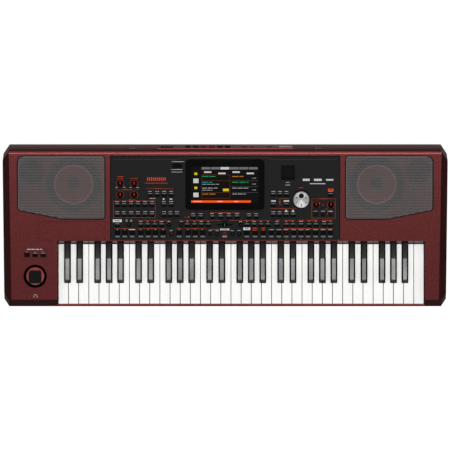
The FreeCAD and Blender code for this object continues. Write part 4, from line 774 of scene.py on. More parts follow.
class KEYBOARD_OT_finishes(bpy.types.Operator):
    """Make the finishes of all the pieces"""
    bl_idname = "keyboard.finishes"
    bl_label = "Finishes"

    def execute(self, context):
        colours = context.scene.keyboard_colours
        # Colour, roughness and specular level
        plain = {
            "stick_red": ("a85050", 0.5, 0.1), "cheek_plastic": (colours.case, 0.5, 0.012),
            "case_plastic": ("1d1b1b", 0.55, 0.2), "button_plastic": (colours.button, 0.45, 0.03),
            "red_button": ("351415", 0.45, 0.12), "red_lens": ("661214", 0.4, 0.2),
            # The very dark red on this line paints the shade round the joystick's dome and down in its hole.
            "recess_shade_dark": ("160606", 0.6, 0.02), "grille_paint": (colours.grille, 0.55, 0.15),
            "cone_ring": ("c07c74", 0.6, 0.2), "basket_steel": ("0c0c0c", 0.6, 0.05),
            "lcd_case": ("5a5a58", 0.5, 0.5), "frame_coat": ("2a2222", 0.6, 0.15),
            # On this line the dark of the port recess and the finger well, and the slip front's dark red, are
            # painted shade.
            "recess_shade_plastic": ("121212", 0.6, 0.04), "slip_front_shaded": ("3a1c1c", 0.5, 0.0),
            "stick_cap": ("121212", 0.5, 0.05), "socket_plastic": ("0c0c0c", 0.5, 0.2),
        }
        for name, (colour, rough, specular) in plain.items():
            moulded(name, colour, rough, specular=specular)
        # Colour, roughness, spread of the shades and specular level
        even = {
            # The bead's paler grey is a painted highlight along the panel's step.
            "panel_plastic": (colours.panel, 0.5, 0.08, 0.05), "panel_bead_highlight": ("303030", 0.45, 0.08, 0.15),
            "lens_strip": (colours.lens, 0.45, 0.06, 0.2), "pink_lens": ("8e7576", 0.45, 0.06, 0.2),
            "lens_middle": (shade(colours.lens, 2.0), 0.45, 0.06, 0.2),
            "socket_white": ("d8d6d0", 0.5, 0.05, 0.5),
        }
        for name, (colour, rough, spread, specular) in even.items():
            moulded(name, colour, rough, spread=spread, specular=specular)
        # Colour, spread of the shades and specular level
        inks = {
            "light_ink": (colours.legend, 0.08, 0.1), "white_ink": ("d4d4d4", 0.04, 0.1),
            "warm_ink": (colours.line, 0.08, 0.1), "bright_ink": ("d8481e", 0.05, 0.1),
            # The dark ink prints words, and it also paints shade: in the gaps round the panel, the grilles
            # and the dial, in the screws' slots and in the vents.
            "red_ink": ("de1c1e", 0.08, 0.1), "dark_ink": ("080808", 0.08, 0.05),
            "seam_ink": ("301313", 0.08, 0.1),
        }
        for name, (colour, spread, specular) in inks.items():
            moulded(name, colour, 0.6, spread=spread, depth=0.002, specular=specular)
        # Colour, roughness, scale of the grain, spread of the shades, depth of the grain and specular level
        grained = {
            # The brown felt also paints the lip's shadow on the keys.
            "felt_and_shade_brown": ("44352f", 0.95, 900, 0.3, 0.05, 0.02),
            # The lip's very dark red is the deck's red in painted shade on the lip's front.
            "lip_gloss_shaded": ("1c0d0d", 0.1, 300, 0.1, 0.0005, 0.5),
            "knob_rubber": ("080808", 0.6, 1500, 0.12, 0.02, 0.03),
            "foot_rubber": ("171717", 0.8, 1500, 0.12, 0.02, 0.5),
            "white_key_gloss": (colours.white_key, 0.3, 300, 0.012, 0.003, 0.5),
            "black_key_side": ("202020", 0.6, 700, 0.12, 0.02, 0.0),
            "black_key_polish": (colours.black_key, 0.16, 700, 0.1, 0.0005, 0.5),
            "cone_paper": ("963f37", 0.8, 400, 0.2, 0.06, 0.1),
            "cone_rubber": ("0a0a0a", 0.7, 400, 0.2, 0.06, 0.05),
            "screen_glass": ("0a0a0b", 0.15, 200, 0.1, 0.0005, 0.06),
            "board_green": ("1d4a2b", 0.45, 500, 0.2, 0.02, 0.5),
            "board_dark": ("0c0f0d", 0.5, 500, 0.2, 0.02, 0.05),
        }
        for name, values in grained.items():
            moulded(name, *values)
        # The rear wall turns paler towards its foot: painted light of the floor's bounce.
        moulded("rear_plastic", colours.rear, 0.5, specular=0, foot="867070")
        moulded("black_key_satin", colours.black_key, 0.36, 700, specular=0.3, rear_rough=0.95)
        flaked_paint("deck_red", colours.red)
        # A paler, fully metallic red for the roll: a painted highlight along the deck's rear edge.
        flaked_paint("roll_red_painted_highlight", "a85050", 1.0, 0.2)
        # The dial's colour carries a painted sheen, paler to the front and rear of its centre.
        spun("dial_silver_painted_sheen", "bebebe", panel_spot(DIAL))
        brushed("steel", "b8b8ba", 0.32)
        brushed("nickel", "c6c2b8", 0.26)
        # Colour and strength
        screen = {
            "dark": ("0b0c0d", 0.6), "bar": ("f8580c", 0.95), "line": ("8a3e0c", 0.9),
            "amber": ("e8960e", 0.8), "cyan": ("18b4bc", 0.8), "green": ("20c060", 0.8),
            "white": ("d8d8d8", 0.8), "yellow": ("e6c81c", 0.9), "grey": ("6e6e6e", 0.9),
        }
        for name, (colour, strength) in screen.items():
            lit(f"screen_{name}", colour, strength)
        lit("red_lamp", "d01818", 1.0)
        return {"FINISHED"}


class KEYBOARD_OT_case(bpy.types.Operator):
    """Dress the deck, the cheeks, the rear wall and the bottom of the case"""
    bl_idname = "keyboard.case"
    bl_label = "Case"

    def execute(self, context):
        rounding = chosen("case_round")
        self.dress_deck(rounding)
        self.dress_walls(rounding)
        self.dress_panel()
        return {"FINISHED"}

    def dress_deck(self, rounding):
        """The red deck with dark edges, its roll, the lip over the keys and the felt under the lip."""
        # The dark edges run from the rear to the front of the arms and narrow the red a little: painted shade
        # on the arms' front bevels and in the groove beside the cheeks. The lip's dark front is painted shade
        # as well, and the roll's paler red is a painted highlight.
        rear_end, front_end = free_spot(503.3, 140, 0), free_spot(498.7, -151.6, 0)
        along = (rear_end - front_end).normalized()
        cuts = [(Vector((side * rear_end.x, rear_end.y, 0)), Vector((side * along.y, -along.x, 0)))
                for side in (-1, 1)]
        nose_start, lip_rear, lip_front, roll_start, roll_low = -150, -20, -60, DECK_REAR - 4.8, 118
        nose_tilt, lip_tilt, roll_tilts = -0.25, -0.5, (-0.12, 0.6)

        def deck_part(face):
            middle, tilt = centre(face), face.normal.y
            beside = any((face.calc_center_median() - spot).dot(normal) > 0 for spot, normal in cuts)
            if beside or (middle.y < nose_start and tilt < nose_tilt):
                return 1
            if lip_front < middle.y < lip_rear and tilt < lip_tilt:
                return 3
            on_roll = middle.y > roll_start and middle.z > roll_low and roll_tilts[0] < tilt < roll_tilts[1]
            return 2 if on_roll else 0

        parted_node("top_panel", rounding, (("top_panel_shown", "deck_red", "red_metal"),
                                            ("deck_edges", "cheek_plastic", "dark_plastic"),
                                            ("deck_roll", "roll_red_painted_highlight", "red_metal"),
                                            ("key_lip", "lip_gloss_shaded", "red_metal")), deck_part, cuts)
        # A strip of real felt along the lip, which also paints the lip's shadow on the rear of the keys.
        felt = slab((855.8, 1.4, 1.6), 0.2)
        gathered("key_felt", [(felt, Matrix.Translation(free_spot(37.3, -43.5, 89.4)))], "felt_and_shade_brown")
        lift = chosen("print_lift") / 2
        # Dark bars along the control panel's sides and rear on the deck: painted shade of the gap round the
        # panel.
        edges = [(deck_spot(side * 267.2, -107.8, lift), 1.8, 198) for side in (-1, 1)]
        edges.append((deck_spot(0, -9.5, lift), 536.2, 1.6))
        inked("panel_surround", edges, "dark_ink")

    def dress_walls(self, rounding):
        """The key slip, the cheeks, the rear wall with the lip of its bay, and the bottom."""
        # The slip's front half gets a darker red: painted shade on the faces that turn down and away from the
        # light.
        slip_edge = -186.9
        parted_node("key_slip", 2.5 * rounding, (("key_slip_shown", "deck_red", "red_metal"),
                                                 ("key_slip_front", "slip_front_shaded", "red_metal")),
                    lambda face: int(centre(face).y < slip_edge),
                    [(free_spot(0, slip_edge, 0), Vector((0, 1, 0)))], 4)
        for node in ("left_end_cheek", "right_end_cheek"):
            rounded_node(node, 2 * rounding, "cheek_plastic", "dark_plastic", 3)
        rounded_node("rear_panel", rounding / 2, "rear_plastic", "dark_plastic")
        rounded_node("bottom_case", rounding, "case_plastic", "case_plastic")
        paint_node("music_stand_sockets", "case_plastic")
        lip = slab((316, 2.8, 1.2), 0.3)
        gathered("bay_lip", [(lip, Matrix.Translation(free_spot(0, 178.6, 99.5)))], "stick_red")

    def dress_panel(self):
        """The control panel with its port recess and the bead along its rear edge."""
        port, port_reach, least_reach, port_rim, upward = panel_spot(PORT) / MM, 17.5, 2, 0.3, 0.999

        # The port recess's walls get a darker plastic: painted shade in the recess.
        def in_port(face):
            middle = centre(face) - port
            near = max(abs(middle.x), abs(middle.y)) < port_reach and middle.length > least_reach
            below = middle.z < middle.y * math.tan(DECK_SLOPE) - port_rim
            return int(near and below and face.normal.z < upward)

        parted_node("control_panel", chosen("button_round"),
                    (("control_panel_shown", "panel_plastic", "panel_plastic"),
                     ("port_walls", "recess_shade_plastic", "panel_plastic")), in_port)
        # A raised bead along the panel's rear step, in a paler grey: a painted highlight.
        ridge = ((0.010, 0.037), (0.290, 0.037), (0.315, 0.020), (0.684, 0.020), (0.709, 0.037),
                 (0.990, 0.037))
        beads = []
        for start, end in zip(ridge, ridge[1:]):
            first, last = panel_spot(start), panel_spot(end)
            turn = Matrix.Rotation(math.atan2(last.y - first.y, last.x - first.x), 4, "Z")
            bead = slab(((last - first).length / MM + 0.6, 1.3, 0.5), 0.2)
            beads.append((bead, at((first + last) / 2) @ turn))
        gathered("panel_ridge", beads, "panel_bead_highlight")


class KEYBOARD_OT_grilles(bpy.types.Operator):
    """Make the perforated speaker grilles and their rims"""
    bl_idname = "keyboard.grilles"
    bl_label = "Speaker grilles"

    def execute(self, context):
        hem, level, thick, sheet = 0.15, -0.3, 2.5, 0.8
        ink, gap = chosen("print_lift"), chosen("grille_gap")
        across, along = chosen("hole_pitch"), chosen("row_pitch")
        border = gap + chosen("grille_rim")
        rows = math.ceil((GRILLE_REAR - GRILLE_FRONT) / along)
        columns = math.ceil((GRILLE_OUTER - GRILLE_INNER) / across)
        # Margins, level, thickness, finish, slot and the solid that the ring stands for
        rings = {
            # The gap ring is a dark sheet down in the gap round each grille, and the edge ring a dark outline
            # printed on the deck round it: both are painted shade.
            "gap": (hem, gap, 2 * level, thick, "dark_ink", "grille_steel", None),
            "edge": (-1.4, hem, ink, 2 * ink, "dark_ink", None, None),
            "rim": (gap, border, level, thick, "grille_paint", "grille_steel", "speaker_grilles"),
        }
        for side, word in ((-1, "left"), (1, "right")):
            for part, (start, end, top, deep, finish, slot, node) in rings.items():
                ring = grille_ring(side, start, end, top, deep)
                gathered(f"{word}_grille_{part}", [(ring, DECK)], finish, "case", node)
            field = grille_outline(side, border - across / 2)
            holes = []
            for row in range(rows + 1):
                for column in range(columns + 1):
                    x = GRILLE_INNER + (column + 0.5 * (row % 2)) * across
                    point = Vector((side * x, GRILLE_FRONT + row * along))
                    if inside(point, field):
                        holes.append((deck_spot(point.x, point.y, level), ONE))
            cell = hole_cell(across, along, chosen("hole_width"), sheet)
            stamped(f"{word}_grille_sheet", holes, cell, "grille_paint")
        return {"FINISHED"}


class KEYBOARD_OT_speakers(bpy.types.Operator):
    """Dress the woofers and tweeters behind the grilles"""
    bl_idname = "keyboard.speakers"
    bl_label = "Speakers"

    def execute(self, context):
        rounding = chosen("case_round")
        woofer = Vector((353.1, -76.4))
        paper_start, paper_end = 13.4, 44.3

        def cone_part(face):
            middle = deck_centre(face)
            reach = math.hypot(abs(middle.x) - woofer.x, middle.y - woofer.y)
            return int(paper_start < reach < paper_end)

        for node in ("woofer_baskets", "tweeters"):
            rounded_node(node, rounding, "basket_steel", "speaker_frame")
        parted_node("woofer_cones", rounding, (("woofer_surrounds", "cone_rubber", "speaker_cone"),
                                               ("woofer_paper", "cone_paper", "speaker_cone")), cone_part)
        rings = [(tube(42.6, 46.0, 0.8, 64), at(deck_spot(side * woofer.x, woofer.y, -3.2)))
                 for side in (-1, 1)]
        gathered("speaker_rings", rings, "cone_ring")
        return {"FINISHED"}


class KEYBOARD_OT_legends(bpy.types.Operator):
    """Print the lines, frames, label dashes and numbers of the control panel and the deck"""
    bl_idname = "keyboard.legends"
    bl_label = "Printed legends"

    def execute(self, context):
        lift = chosen("print_lift") / 2
        self.print_lines(lift)
        self.print_labels(lift)
        self.print_deck(lift)
        return {"FINISHED"}

    def print_lines(self, lift):
        """Warm frames, lines, headings and knob scales."""
        lines = boxed(0.012, 0.531, 0.194, 0.732) + boxed(0.879, 0.508, 0.982, 0.739)
        for row, spans in LINE_ROWS.items():
            for start, end in spans:
                lines += lines_along(((start, row), (end, row)))
        lines += lines_along(((0.781, 0.505), (0.739, 0.505), (0.739, 0.575), (0.750, 0.575)))
        lines += lines_along(((0.937, 0.628), (0.9466, 0.628), (0.9466, 0.695), (0.9505, 0.695)))
        inked("printed_lines", lines, "warm_ink")
        inked("printed_headings", labels(HEADINGS, 9), "bright_ink")
        marks = [((0.9615, 0.403), 12.4, 6.6), ((0.340, 0.727), 2.6, 2.6), ((0.739, 0.545), 3.0, 3.0)]
        marks += [((u, v), width, 1.5) for u, width in ((0.630, 10.4), (0.667, 7.6)) for v in (0.858, 0.882)]
        marks += [((0.161 + 0.0085 * step, 0.272), 2.1, 8.0) for step in range(10)]
        inked("printed_patches", patches(marks, lift), "bright_ink")
        scales = [(arc(8.4, 9.0, -140, 140), at(panel_spot(place))) for place in KNOBS.values()]
        gathered("knob_scales", scales, "warm_ink")

    def print_labels(self, lift):
        """Light label dashes, plain patches and numbers."""
        bars = []
        for number, place in enumerate(STYLE_PLACES + MODE_PLACES + ROUND_PLACES[-3:]):
            bars += legend_bars(place, number, 8.6, 8.0)
        for number, place in enumerate(PLAYER_PLACES[1:]):
            bars += legend_bars(place, number, 3.0 + 5.0 * (number % 3 == 0), 8.4)
        for first, group, width, shift in ((5, ROUND_PLACES[1:-3], 6.5, 8.2), (2, TALL_LEFT, 2.4, 11.0),
                                           (2, TALL_RIGHT[3:], 10.5, 11.0)):
            for number, place in enumerate(group, first):
                bars += legend_bars(place, number, width, shift)
        bars += labels(LOOSE_LABELS)
        bars += patches((((0.8545, 0.281), 16, 5.2), ((0.9057, 0.281), 18, 5.2), ((0.9573, 0.281), 17, 3.6),
                         ((0.904, 0.327), 36, 1.8)), lift)
        inked("printed_labels", bars, "light_ink")
        inked("white_patches", patches(WHITE_PATCHES, lift), "white_ink")
        words = (((0.028, 0.770), 13.0, 1.6), ((0.498, 0.874), 14.0, 0.9), ((0.5945, 0.866), 9.0, 1.6),
                 ((0.9615, 0.403), 4.0, 2.4))
        inked("patch_words", patches(words, 3 * lift), "dark_ink")
        notches = [((u, 0.647), 4.6, 1.1) for u in (0.378, 0.405, 0.431, 0.567, 0.592, 0.619)]
        inked("display_notches", patches(notches, 0.2), "dark_ink")
        digits = [(str(number), panel_spot(place, lift * 2, (0, -10.9)), 2.0)
                  for number, place in enumerate(TALL_RIGHT[4:], 1)]
        numbered("button_numbers", digits, "light_ink")
        twins = [(arc(1.7, 2.3, 0, 360), at(panel_spot((u, 0.768)))) for u in (0.069, 0.089)]
        gathered("round_button_sign", twins, "white_ink")

    def print_deck(self, lift):
        """Seams and signs on the red deck."""
        seam = 0.7
        seams = []
        for left, right, rear, front in ((-473.0, -414.2, -55.0, -78.3), (-434.2, -279.7, 8.7, -36.1)):
            x, y, width, depth = (left + right) / 2, (rear + front) / 2, right - left, rear - front
            seams += [(plan_spot(x, edge, lift), width, seam) for edge in (rear, front)]
            seams += [(plan_spot(edge, y, lift), seam, depth) for edge in (left, right)]
        inked("deck_seams", seams, "seam_ink")
        words = [(plan_spot(x, -56.2, 3 * lift), width, 1.4)
                 for x, width in ((-457.5, 9), (-447.6, 8), (-437.5, 9), (-429.0, 5))]
        words += [(plan_spot(x, -62.8, 3 * lift), 1.6, 1.2) for x in (-462.2, -443.0, -424.6)]
        inked("switch_labels", words, "white_ink")
        sign = [(arc(3.6, 4.2, -105, 105), at(plan_spot(-442.4, -165.6)))]
        sign += [(slab((1.1, 2.6, 2 * lift)), at(plan_spot(x, -167.6, lift))) for x in (-446.0, -438.8)]
        gathered("headphone_sign", sign, "white_ink")


class KEYBOARD_OT_display(bpy.types.Operator):
    """Make the display's glass and a generic lit picture on it"""
    bl_idname = "keyboard.display"
    bl_label = "Display"

    def execute(self, context):
        rounded_node("display_glass", chosen("button_round"), "screen_glass", "screen_glass")
        paint_node("lcd_module", "lcd_case")
        glass_top, thin, wide, deep = 1.5, 0.03, 157.0, 85.0

        def tiles(name, boxes, finish, level):
            """Lit tiles: left, rear, width and depth from the picture's rear left corner."""
            stamps = []
            for start, rear, width, depth in boxes:
                shift = (start + width / 2 - wide / 2, deep / 2 - rear - depth / 2)
                stamps.append((panel_spot(GLASS, glass_top + level * thin, shift), (width, depth, thin)))
            stamped(f"picture_{name}", stamps, slab(ONE), finish)

        tiles("ground", [(0, 0, wide, deep)], "screen_dark", 0.5)
        tabs = [(24.0 + 22.0 * step, 1.0, 20.5, 5.6) for step in range(6)]
        tiles("tabs", tabs[:2] + tabs[3:], "screen_grey", 1.5)
        tiles("active_tab", tabs[2:3], "screen_white", 1.5)
        tiles("foot", [(0, 79.2, wide - 18.0, 5.2)], "screen_bar", 1.5)
        left, right, row_step = 26.0, 96.0, 13.8
        rows = [22.0 + row_step * step for step in range(4)]
        top = rows[0] - 3.0
        frames = [(left - 2, row - 3.0, 66.0, 0.45)
                  for row in (rows[0], rows[1], rows[3], rows[3] + row_step)]
        frames += [(left + shift, top, 0.45, 55.0) for shift in (-2, 64)]
        tiles("frames", frames, "screen_line", 1.5)
        tiles("rules", [(right - 2, row - 3.0, 62.0, 0.35) for row in rows[1:]], "screen_grey", 1.5)
        words = {
            "green": [(left, rows[0], 31.0, 1.9), (right, rows[1], 38.0, 1.9)],
            "cyan": [(left, rows[1], 26.0, 1.9)],
            "amber": [(right, rows[0], 28.0, 1.9), (left, rows[3], 33.0, 1.9)],
            "white": [(left, rows[2], 36.0, 1.5), (left, rows[2] + 5.0, 24.0, 1.2),
                      (left, rows[1] + 5.0, 40.0, 1.2), (right, rows[2], 40.0, 1.5),
                      (right, rows[3], 32.0, 1.5)],
        }
        words["white"] += [(right + 46, row + 4.5, 9.0, 1.2) for row in rows[:3]]
        for colour, boxes in words.items():
            letters = []
            for start, rear, width, depth in boxes:
                step = depth * 1.25
                letters += [(start + step * place, rear, depth * 0.85, depth)
                            for place in range(int(width / step)) if (place * 5 + int(start)) % 7]
            tiles(f"words_{colour}", letters, f"screen_{colour}", 2.5)
        tiles("button", [(left + 48, rows[2] + 2.0, 13.5, 6.0)], "screen_yellow", 2.5)
        tags = [(left + 4 + 33.0 * step, 11.0 + 3.0 * (step % 2), 17.0, 3.6) for step in range(4)]
        tiles("tags", tags, "screen_white", 1.5)
        icon_rows = [11.5 + 16.5 * step for step in range(4)]
        tiles("icons", [(5.0, row, 12.0, 10.5) for row in icon_rows[1::2]], "screen_white", 1.5)
        tiles("warm_icons", [(7.5, row + 2.5, 6.5, 5.5) for row in icon_rows[::2]], "screen_yellow", 1.5)
        foot_words = [(start, 80.9, width, 1.6) for start, width in ((5.0, 20), (60.0, 14), (100.0, 10))]
        tiles("foot_words", foot_words, "screen_white", 2.5)
        return {"FINISHED"}


class KEYBOARD_OT_buttons(bpy.types.Operator):
    """Round the buttons and add their lenses and lamps"""
    bl_idname = "keyboard.buttons"
    bl_label = "Buttons"

    def execute(self, context):
        rounding = chosen("button_round")
        for kind in ("style_buttons", "mode_buttons", "player_buttons", "round_buttons", "assign_switches",
                     "intro_buttons", "sound_buttons"):
            rounded_node(kind, rounding, "button_plastic", "button")
        rounded_node("start_stop_button", rounding, "red_button", "red_button")
        small, middle, tall = (10.4, 1.9, 0.3), (2.4, 1.2, 0.4), (10.6, 4.2, 0.3)
        # Name, body, places, size, shift towards the rear and finish
        strips = [
            ("intro_lenses", "intro_buttons", TALL_LEFT, tall, -4.7, "lens_strip"),
            ("sound_lenses", "sound_buttons", TALL_RIGHT, tall, -4.7, "lens_strip"),
            ("start_stop_lens", "start_stop_button", [START_STOP], tall, -4.7, "pink_lens"),
            ("start_stop_lamp", "start_stop_button", [START_STOP], (4.6, 4.2, 0.3), 4.9, "red_lens"),
            ("sound_lamp", "sound_buttons", [(0.768, TALL_ROW)], (2.2, 2.8, 0.3), 5.0, "red_lens"),
            ("round_marks", "round_buttons", ROUND_PLACES, (1.0, 1.8, 0.3), 1.0, "lens_strip"),
            ("round_lamp", "round_buttons", [(0.265, 0.929)], (2.2, 2.2, 0.4), 1.6, "red_lamp"),
        ]
        for word, places in (("style", STYLE_PLACES), ("mode", MODE_PLACES), ("player", PLAYER_PLACES)):
            strips += [(f"{word}_lenses", f"{word}_buttons", places, small, 3.2, "lens_strip"),
                       (f"{word}_lens_middles", f"{word}_buttons", places, middle, 3.2, "lens_middle")]
        for name, body, places, size, shift, finish in strips:
            stamps = [(panel_spot(place, BUTTON_TOP + 0.1, (0, shift)), ONE) for place in places]
            stamped(name, stamps, slab(size, 0.1), finish, body)
        tops = [(plan_spot(x, -65.6, BUTTON_TOP + 0.05), (10.6, 1.0, 0.2)) for x in (-443.0, -424.2)]
        stamped("switch_edges", tops, slab(ONE), "lens_middle", "assign_switches")
        lamp = [(panel_spot((0.928, 0.580), 0.15), ONE)]
        stamped("panel_lamp", lamp, disc(1.3, 0.5, 16, 0.2), "red_lamp")
        return {"FINISHED"}


class KEYBOARD_OT_turners(bpy.types.Operator):
    """Dress the knobs, the dial and the slider"""
    bl_idname = "keyboard.turners"
    bl_label = "Knobs, dial and slider"

    def execute(self, context):
        rounding = chosen("button_round")
        knob_top, rib_reach, rib_count = 11.0, 6.75, 24
        for node, place in KNOBS.items():
            rounded_node(node, rounding, "knob_rubber", "knob")
            pointer = (slab((1.7, 6.0, 0.8), 0.1), at(panel_spot(place, knob_top - 0.3, (0, 2.8))))
            gathered(f"{node}_pointer", [pointer], "red_ink", node)
            ribs = [(panel_spot(place, 4.5, point), ONE) for point in circle(rib_reach, 0, rib_count)]
            stamped(f"{node}_ribs", ribs, slab((0.7, 0.7, 7.0), 0.15), "knob_rubber", node)
        rounded_node("value_dial", rounding, "dial_silver_painted_sheen", "dial", 3)
        dial_top = 9.0
        # A dark disc at the bottom of the dial's finger well: painted shade in the hollow.
        well = (disc(5.9, 0.2, 32), at(panel_spot(DIAL, dial_top - 1.95, (0, 9.5))))
        gathered("dial_finger_well", [well], "recess_shade_plastic", "value_dial")
        marks = []
        for x, y, length in ((-10.7, 5.4, 4.6), (10.7, 5.4, 4.6), (-10.7, -6.0, 4.6), (10.7, -6.0, 4.6),
                             (0, -12.4, 6.4)):
            turn = Matrix.Rotation(math.atan2(y, x), 4, "Z")
            marks.append((slab((length, 1.8, 0.12)), at(panel_spot(DIAL, dial_top, (x, y))) @ turn))
        gathered("dial_marks", marks, "knob_rubber", "value_dial")
        # A dark ring round the dial on the panel: painted shade in the gap round the dial.
        gathered("dial_collar", [(tube(19.3, 21.2, 0.3, 64), at(panel_spot(DIAL, 0.05)))], "dark_ink")
        rounded_node("balance_slider", rounding, "knob_rubber", "knob")
        line = (slab((0.9, 9.0, 0.2)), at(panel_spot(SLIDER, 7.55)))
        gathered("slider_line", [line], "lens_strip", "balance_slider")
        return {"FINISHED"}


class KEYBOARD_OT_joystick(bpy.types.Operator):
    """Dress the joystick: a red dome with a black cap"""
    bl_idname = "keyboard.joystick"
    bl_label = "Joystick"

    def execute(self, context):
        dish_edge, cap_foot = -2.5, 5.9

        # Below the dish's edge the dome gets a very dark red: painted shade of the groove round the dome. The
        # housing and the gimbal down in the hole get the same dark.
        def stick_part(face):
            height = deck_centre(face).z
            if height > cap_foot:
                return 2
            return 0 if height > dish_edge else 1

        cut = (deck_spot(0, 0, dish_edge), SLOPED @ Vector((0, 0, 1)))
        parted_node("joystick_stick", 0.5, (("joystick_dish", "stick_red", "stick"),
                                            ("joystick_collar", "recess_shade_dark", "stick"),
                                            ("joystick_cap", "stick_cap", "stick")), stick_part, [cut])
        for node in ("joystick_housing", "joystick_gimbal"):
            paint_node(node, "recess_shade_dark")
        return {"FINISHED"}


class KEYBOARD_OT_keys(bpy.types.Operator):
    """Round the keys and polish the front of the black ones"""
    bl_idname = "keyboard.keys"
    bl_label = "Keys"

    def execute(self, context):
        rounding = chosen("key_round")
        cuts = [(free_spot(0, POLISH_START, 0), Vector((0, 1, 0)))]
        level_face = 0.97
        parts = {"sides": "black_key_side", "polish": "black_key_polish", "satin": "black_key_satin"}

        def key_part(face):
            if face.normal.z < level_face and face.normal.y > -0.5:
                return 0
            return 1 if face.normal.z > level_face and centre(face).y < POLISH_START else 2

        for node in KEY_GROUPS:
            if node.endswith("black"):
                looks = [(f"{node}_{part}", finish, "black_key") for part, finish in parts.items()]
                parted_node(node, rounding, looks, key_part, cuts)
            else:
                rounded_node(node, rounding, "white_key_gloss", "white_key")
        return {"FINISHED"}


class KEYBOARD_OT_sockets(bpy.types.Operator):
    """Dress the sockets and the mains switch, and print bars beside them"""
    bl_idname = "keyboard.sockets"
    bl_label = "Sockets"

    def execute(self, context):
        for node in ("line_jacks", "data_sockets", "power_inlet"):
            paint_node(node, "socket_plastic")
        rounded_node("power_rocker", 0.4, "socket_plastic", "socket_plastic")
        row, wall, bay_floor, inlet = 60.0, 175.2, 36.1, -135.88
        plain_jacks, red_jacks = (-86.9, -69.05, -12.17, 5.85), (-51.03, -30.02)
        jacks, round_sockets, usb_sockets = plain_jacks + red_jacks, (31.6, 53.72, 75.84), (97.96, 116.92)
        # Finish, places along the row, distance to the rear, and the ring's inside, outside and length
        rings = {
            "jack_nuts": ("nickel", jacks, wall, (5.6, 7.2, 1.6)),
            "jack_rings": ("nickel", jacks, 179.9, (3.35, 4.6, 0.4)),
            "jack_collars": ("socket_plastic", plain_jacks, wall, (5.6, 6.5, 10.5)),
            "red_jack_collars": ("red_lens", red_jacks, wall, (5.6, 6.5, 10.5)),
        }
        for name, (finish, places, y, ring) in rings.items():
            stamped(name, [(free_spot(x, y, row), ONE) for x in places], tube(*ring), finish, turn=OUTWARD)
        pins = []
        for x in round_sockets:
            for turn in (math.radians(180 + 45 * step) for step in range(5)):
                pins.append((free_spot(x + 4.6 * math.cos(turn), 168.7, row - 4.6 * math.sin(turn)), ONE))
        stamped("round_socket_contacts", pins, tube(0.6, 1.1, 0.8, 12), "nickel", turn=OUTWARD)
        bars = [(x, width) for group, width in ((jacks, 9.0), (round_sockets, 11.0), (usb_sockets, 8.0),
                                                ((inlet,), 16.0)) for x in group]
        hood = [((inlet, 179.6, row + rise), (29, 9, 2)) for rise in (-10.6, 10.6)]
        hood += [((inlet + shift, 179.6, row), (2, 9, 19)) for shift in (-13.6, 13.6)]
        # Finish and blocks: the middle and the size of each
        blocks = {
            "inlet_hood": ("socket_plastic", hood),
            "bay_plate_label": ("light_ink", [((142, 183.6, bay_floor), (30, 3.4, 0.1))]),
            "bay_ticks": ("red_lens", [((x, 183.2, bay_floor), (width, 2.4, 0.1))
                                       for x, width in ((45.0, 13), (63.0, 9), (104.0, 12))]),
            "data_tongues": ("socket_white", [((usb_sockets[0], 170.0, row), (5.2, 9.0, 3.0)),
                                              ((usb_sockets[1], 170.0, row + 1.0), (11.2, 9.0, 1.6))]),
            "inlet_blades": ("nickel", [((inlet + shift, 168.0, row + rise), (2.0, 13.0, 5.0))
                                        for shift, rise in ((-7.0, -2.0), (0.0, 2.5), (7.0, -2.0))]),
            "socket_labels": ("light_ink", [((x, 175.05, row + 13.0), (width, 0.1, 1.3))
                                            for x, width in bars]),
        }
        for name, (finish, places) in blocks.items():
            stamps = [(free_spot(*middle), size) for middle, size in places]
            stamped(name, stamps, slab(ONE), finish, turn=UPRIGHT)
        return {"FINISHED"}


class KEYBOARD_OT_inside(bpy.types.Operator):
    """Give the hidden frame, boards and supply their finishes"""
    bl_idname = "keyboard.inside"
    bl_label = "Inside"

    def execute(self, context):
        for node in ("key_contact_board", "main_board", "power_supply"):
            paint_node(node, "board_green")
        paint_node("panel_board", "board_dark")
        paint_node("key_frame", "frame_coat")
        paint_node("key_pivot_rod", "steel")
        return {"FINISHED"}


class KEYBOARD_OT_underside(bpy.types.Operator):
    """Dress the feet, the screws and the vents of the bottom"""
    bl_idname = "keyboard.underside"
    bl_label = "Underside"

    def execute(self, context):
        rounded_node("rubber_feet", 0.8, "foot_rubber", "foot_rubber")
        paint_node("case_screws", "steel")
        heads = [(free_spot(x, y, 4.0), ONE) for x in (-135, 135, 181.5, 298.5) for y in (69, 141)]
        # Dark bars on the screw heads: painted shade in their slots.
        stamped("screw_slots", heads, slab((4.4, 0.9, 0.3)), "dark_ink", turn=UPRIGHT)
        # Dark slabs for the vents: painted shade in the openings.
        vents = [(free_spot(x, 20 + 9 * step, 6.0), ONE) for x in (-330, 330) for step in range(-5, 6)]
        stamped("vent_slots", vents, slab((90, 3.2, 0.3), 0.1), "dark_ink", turn=UPRIGHT)
        return {"FINISHED"}


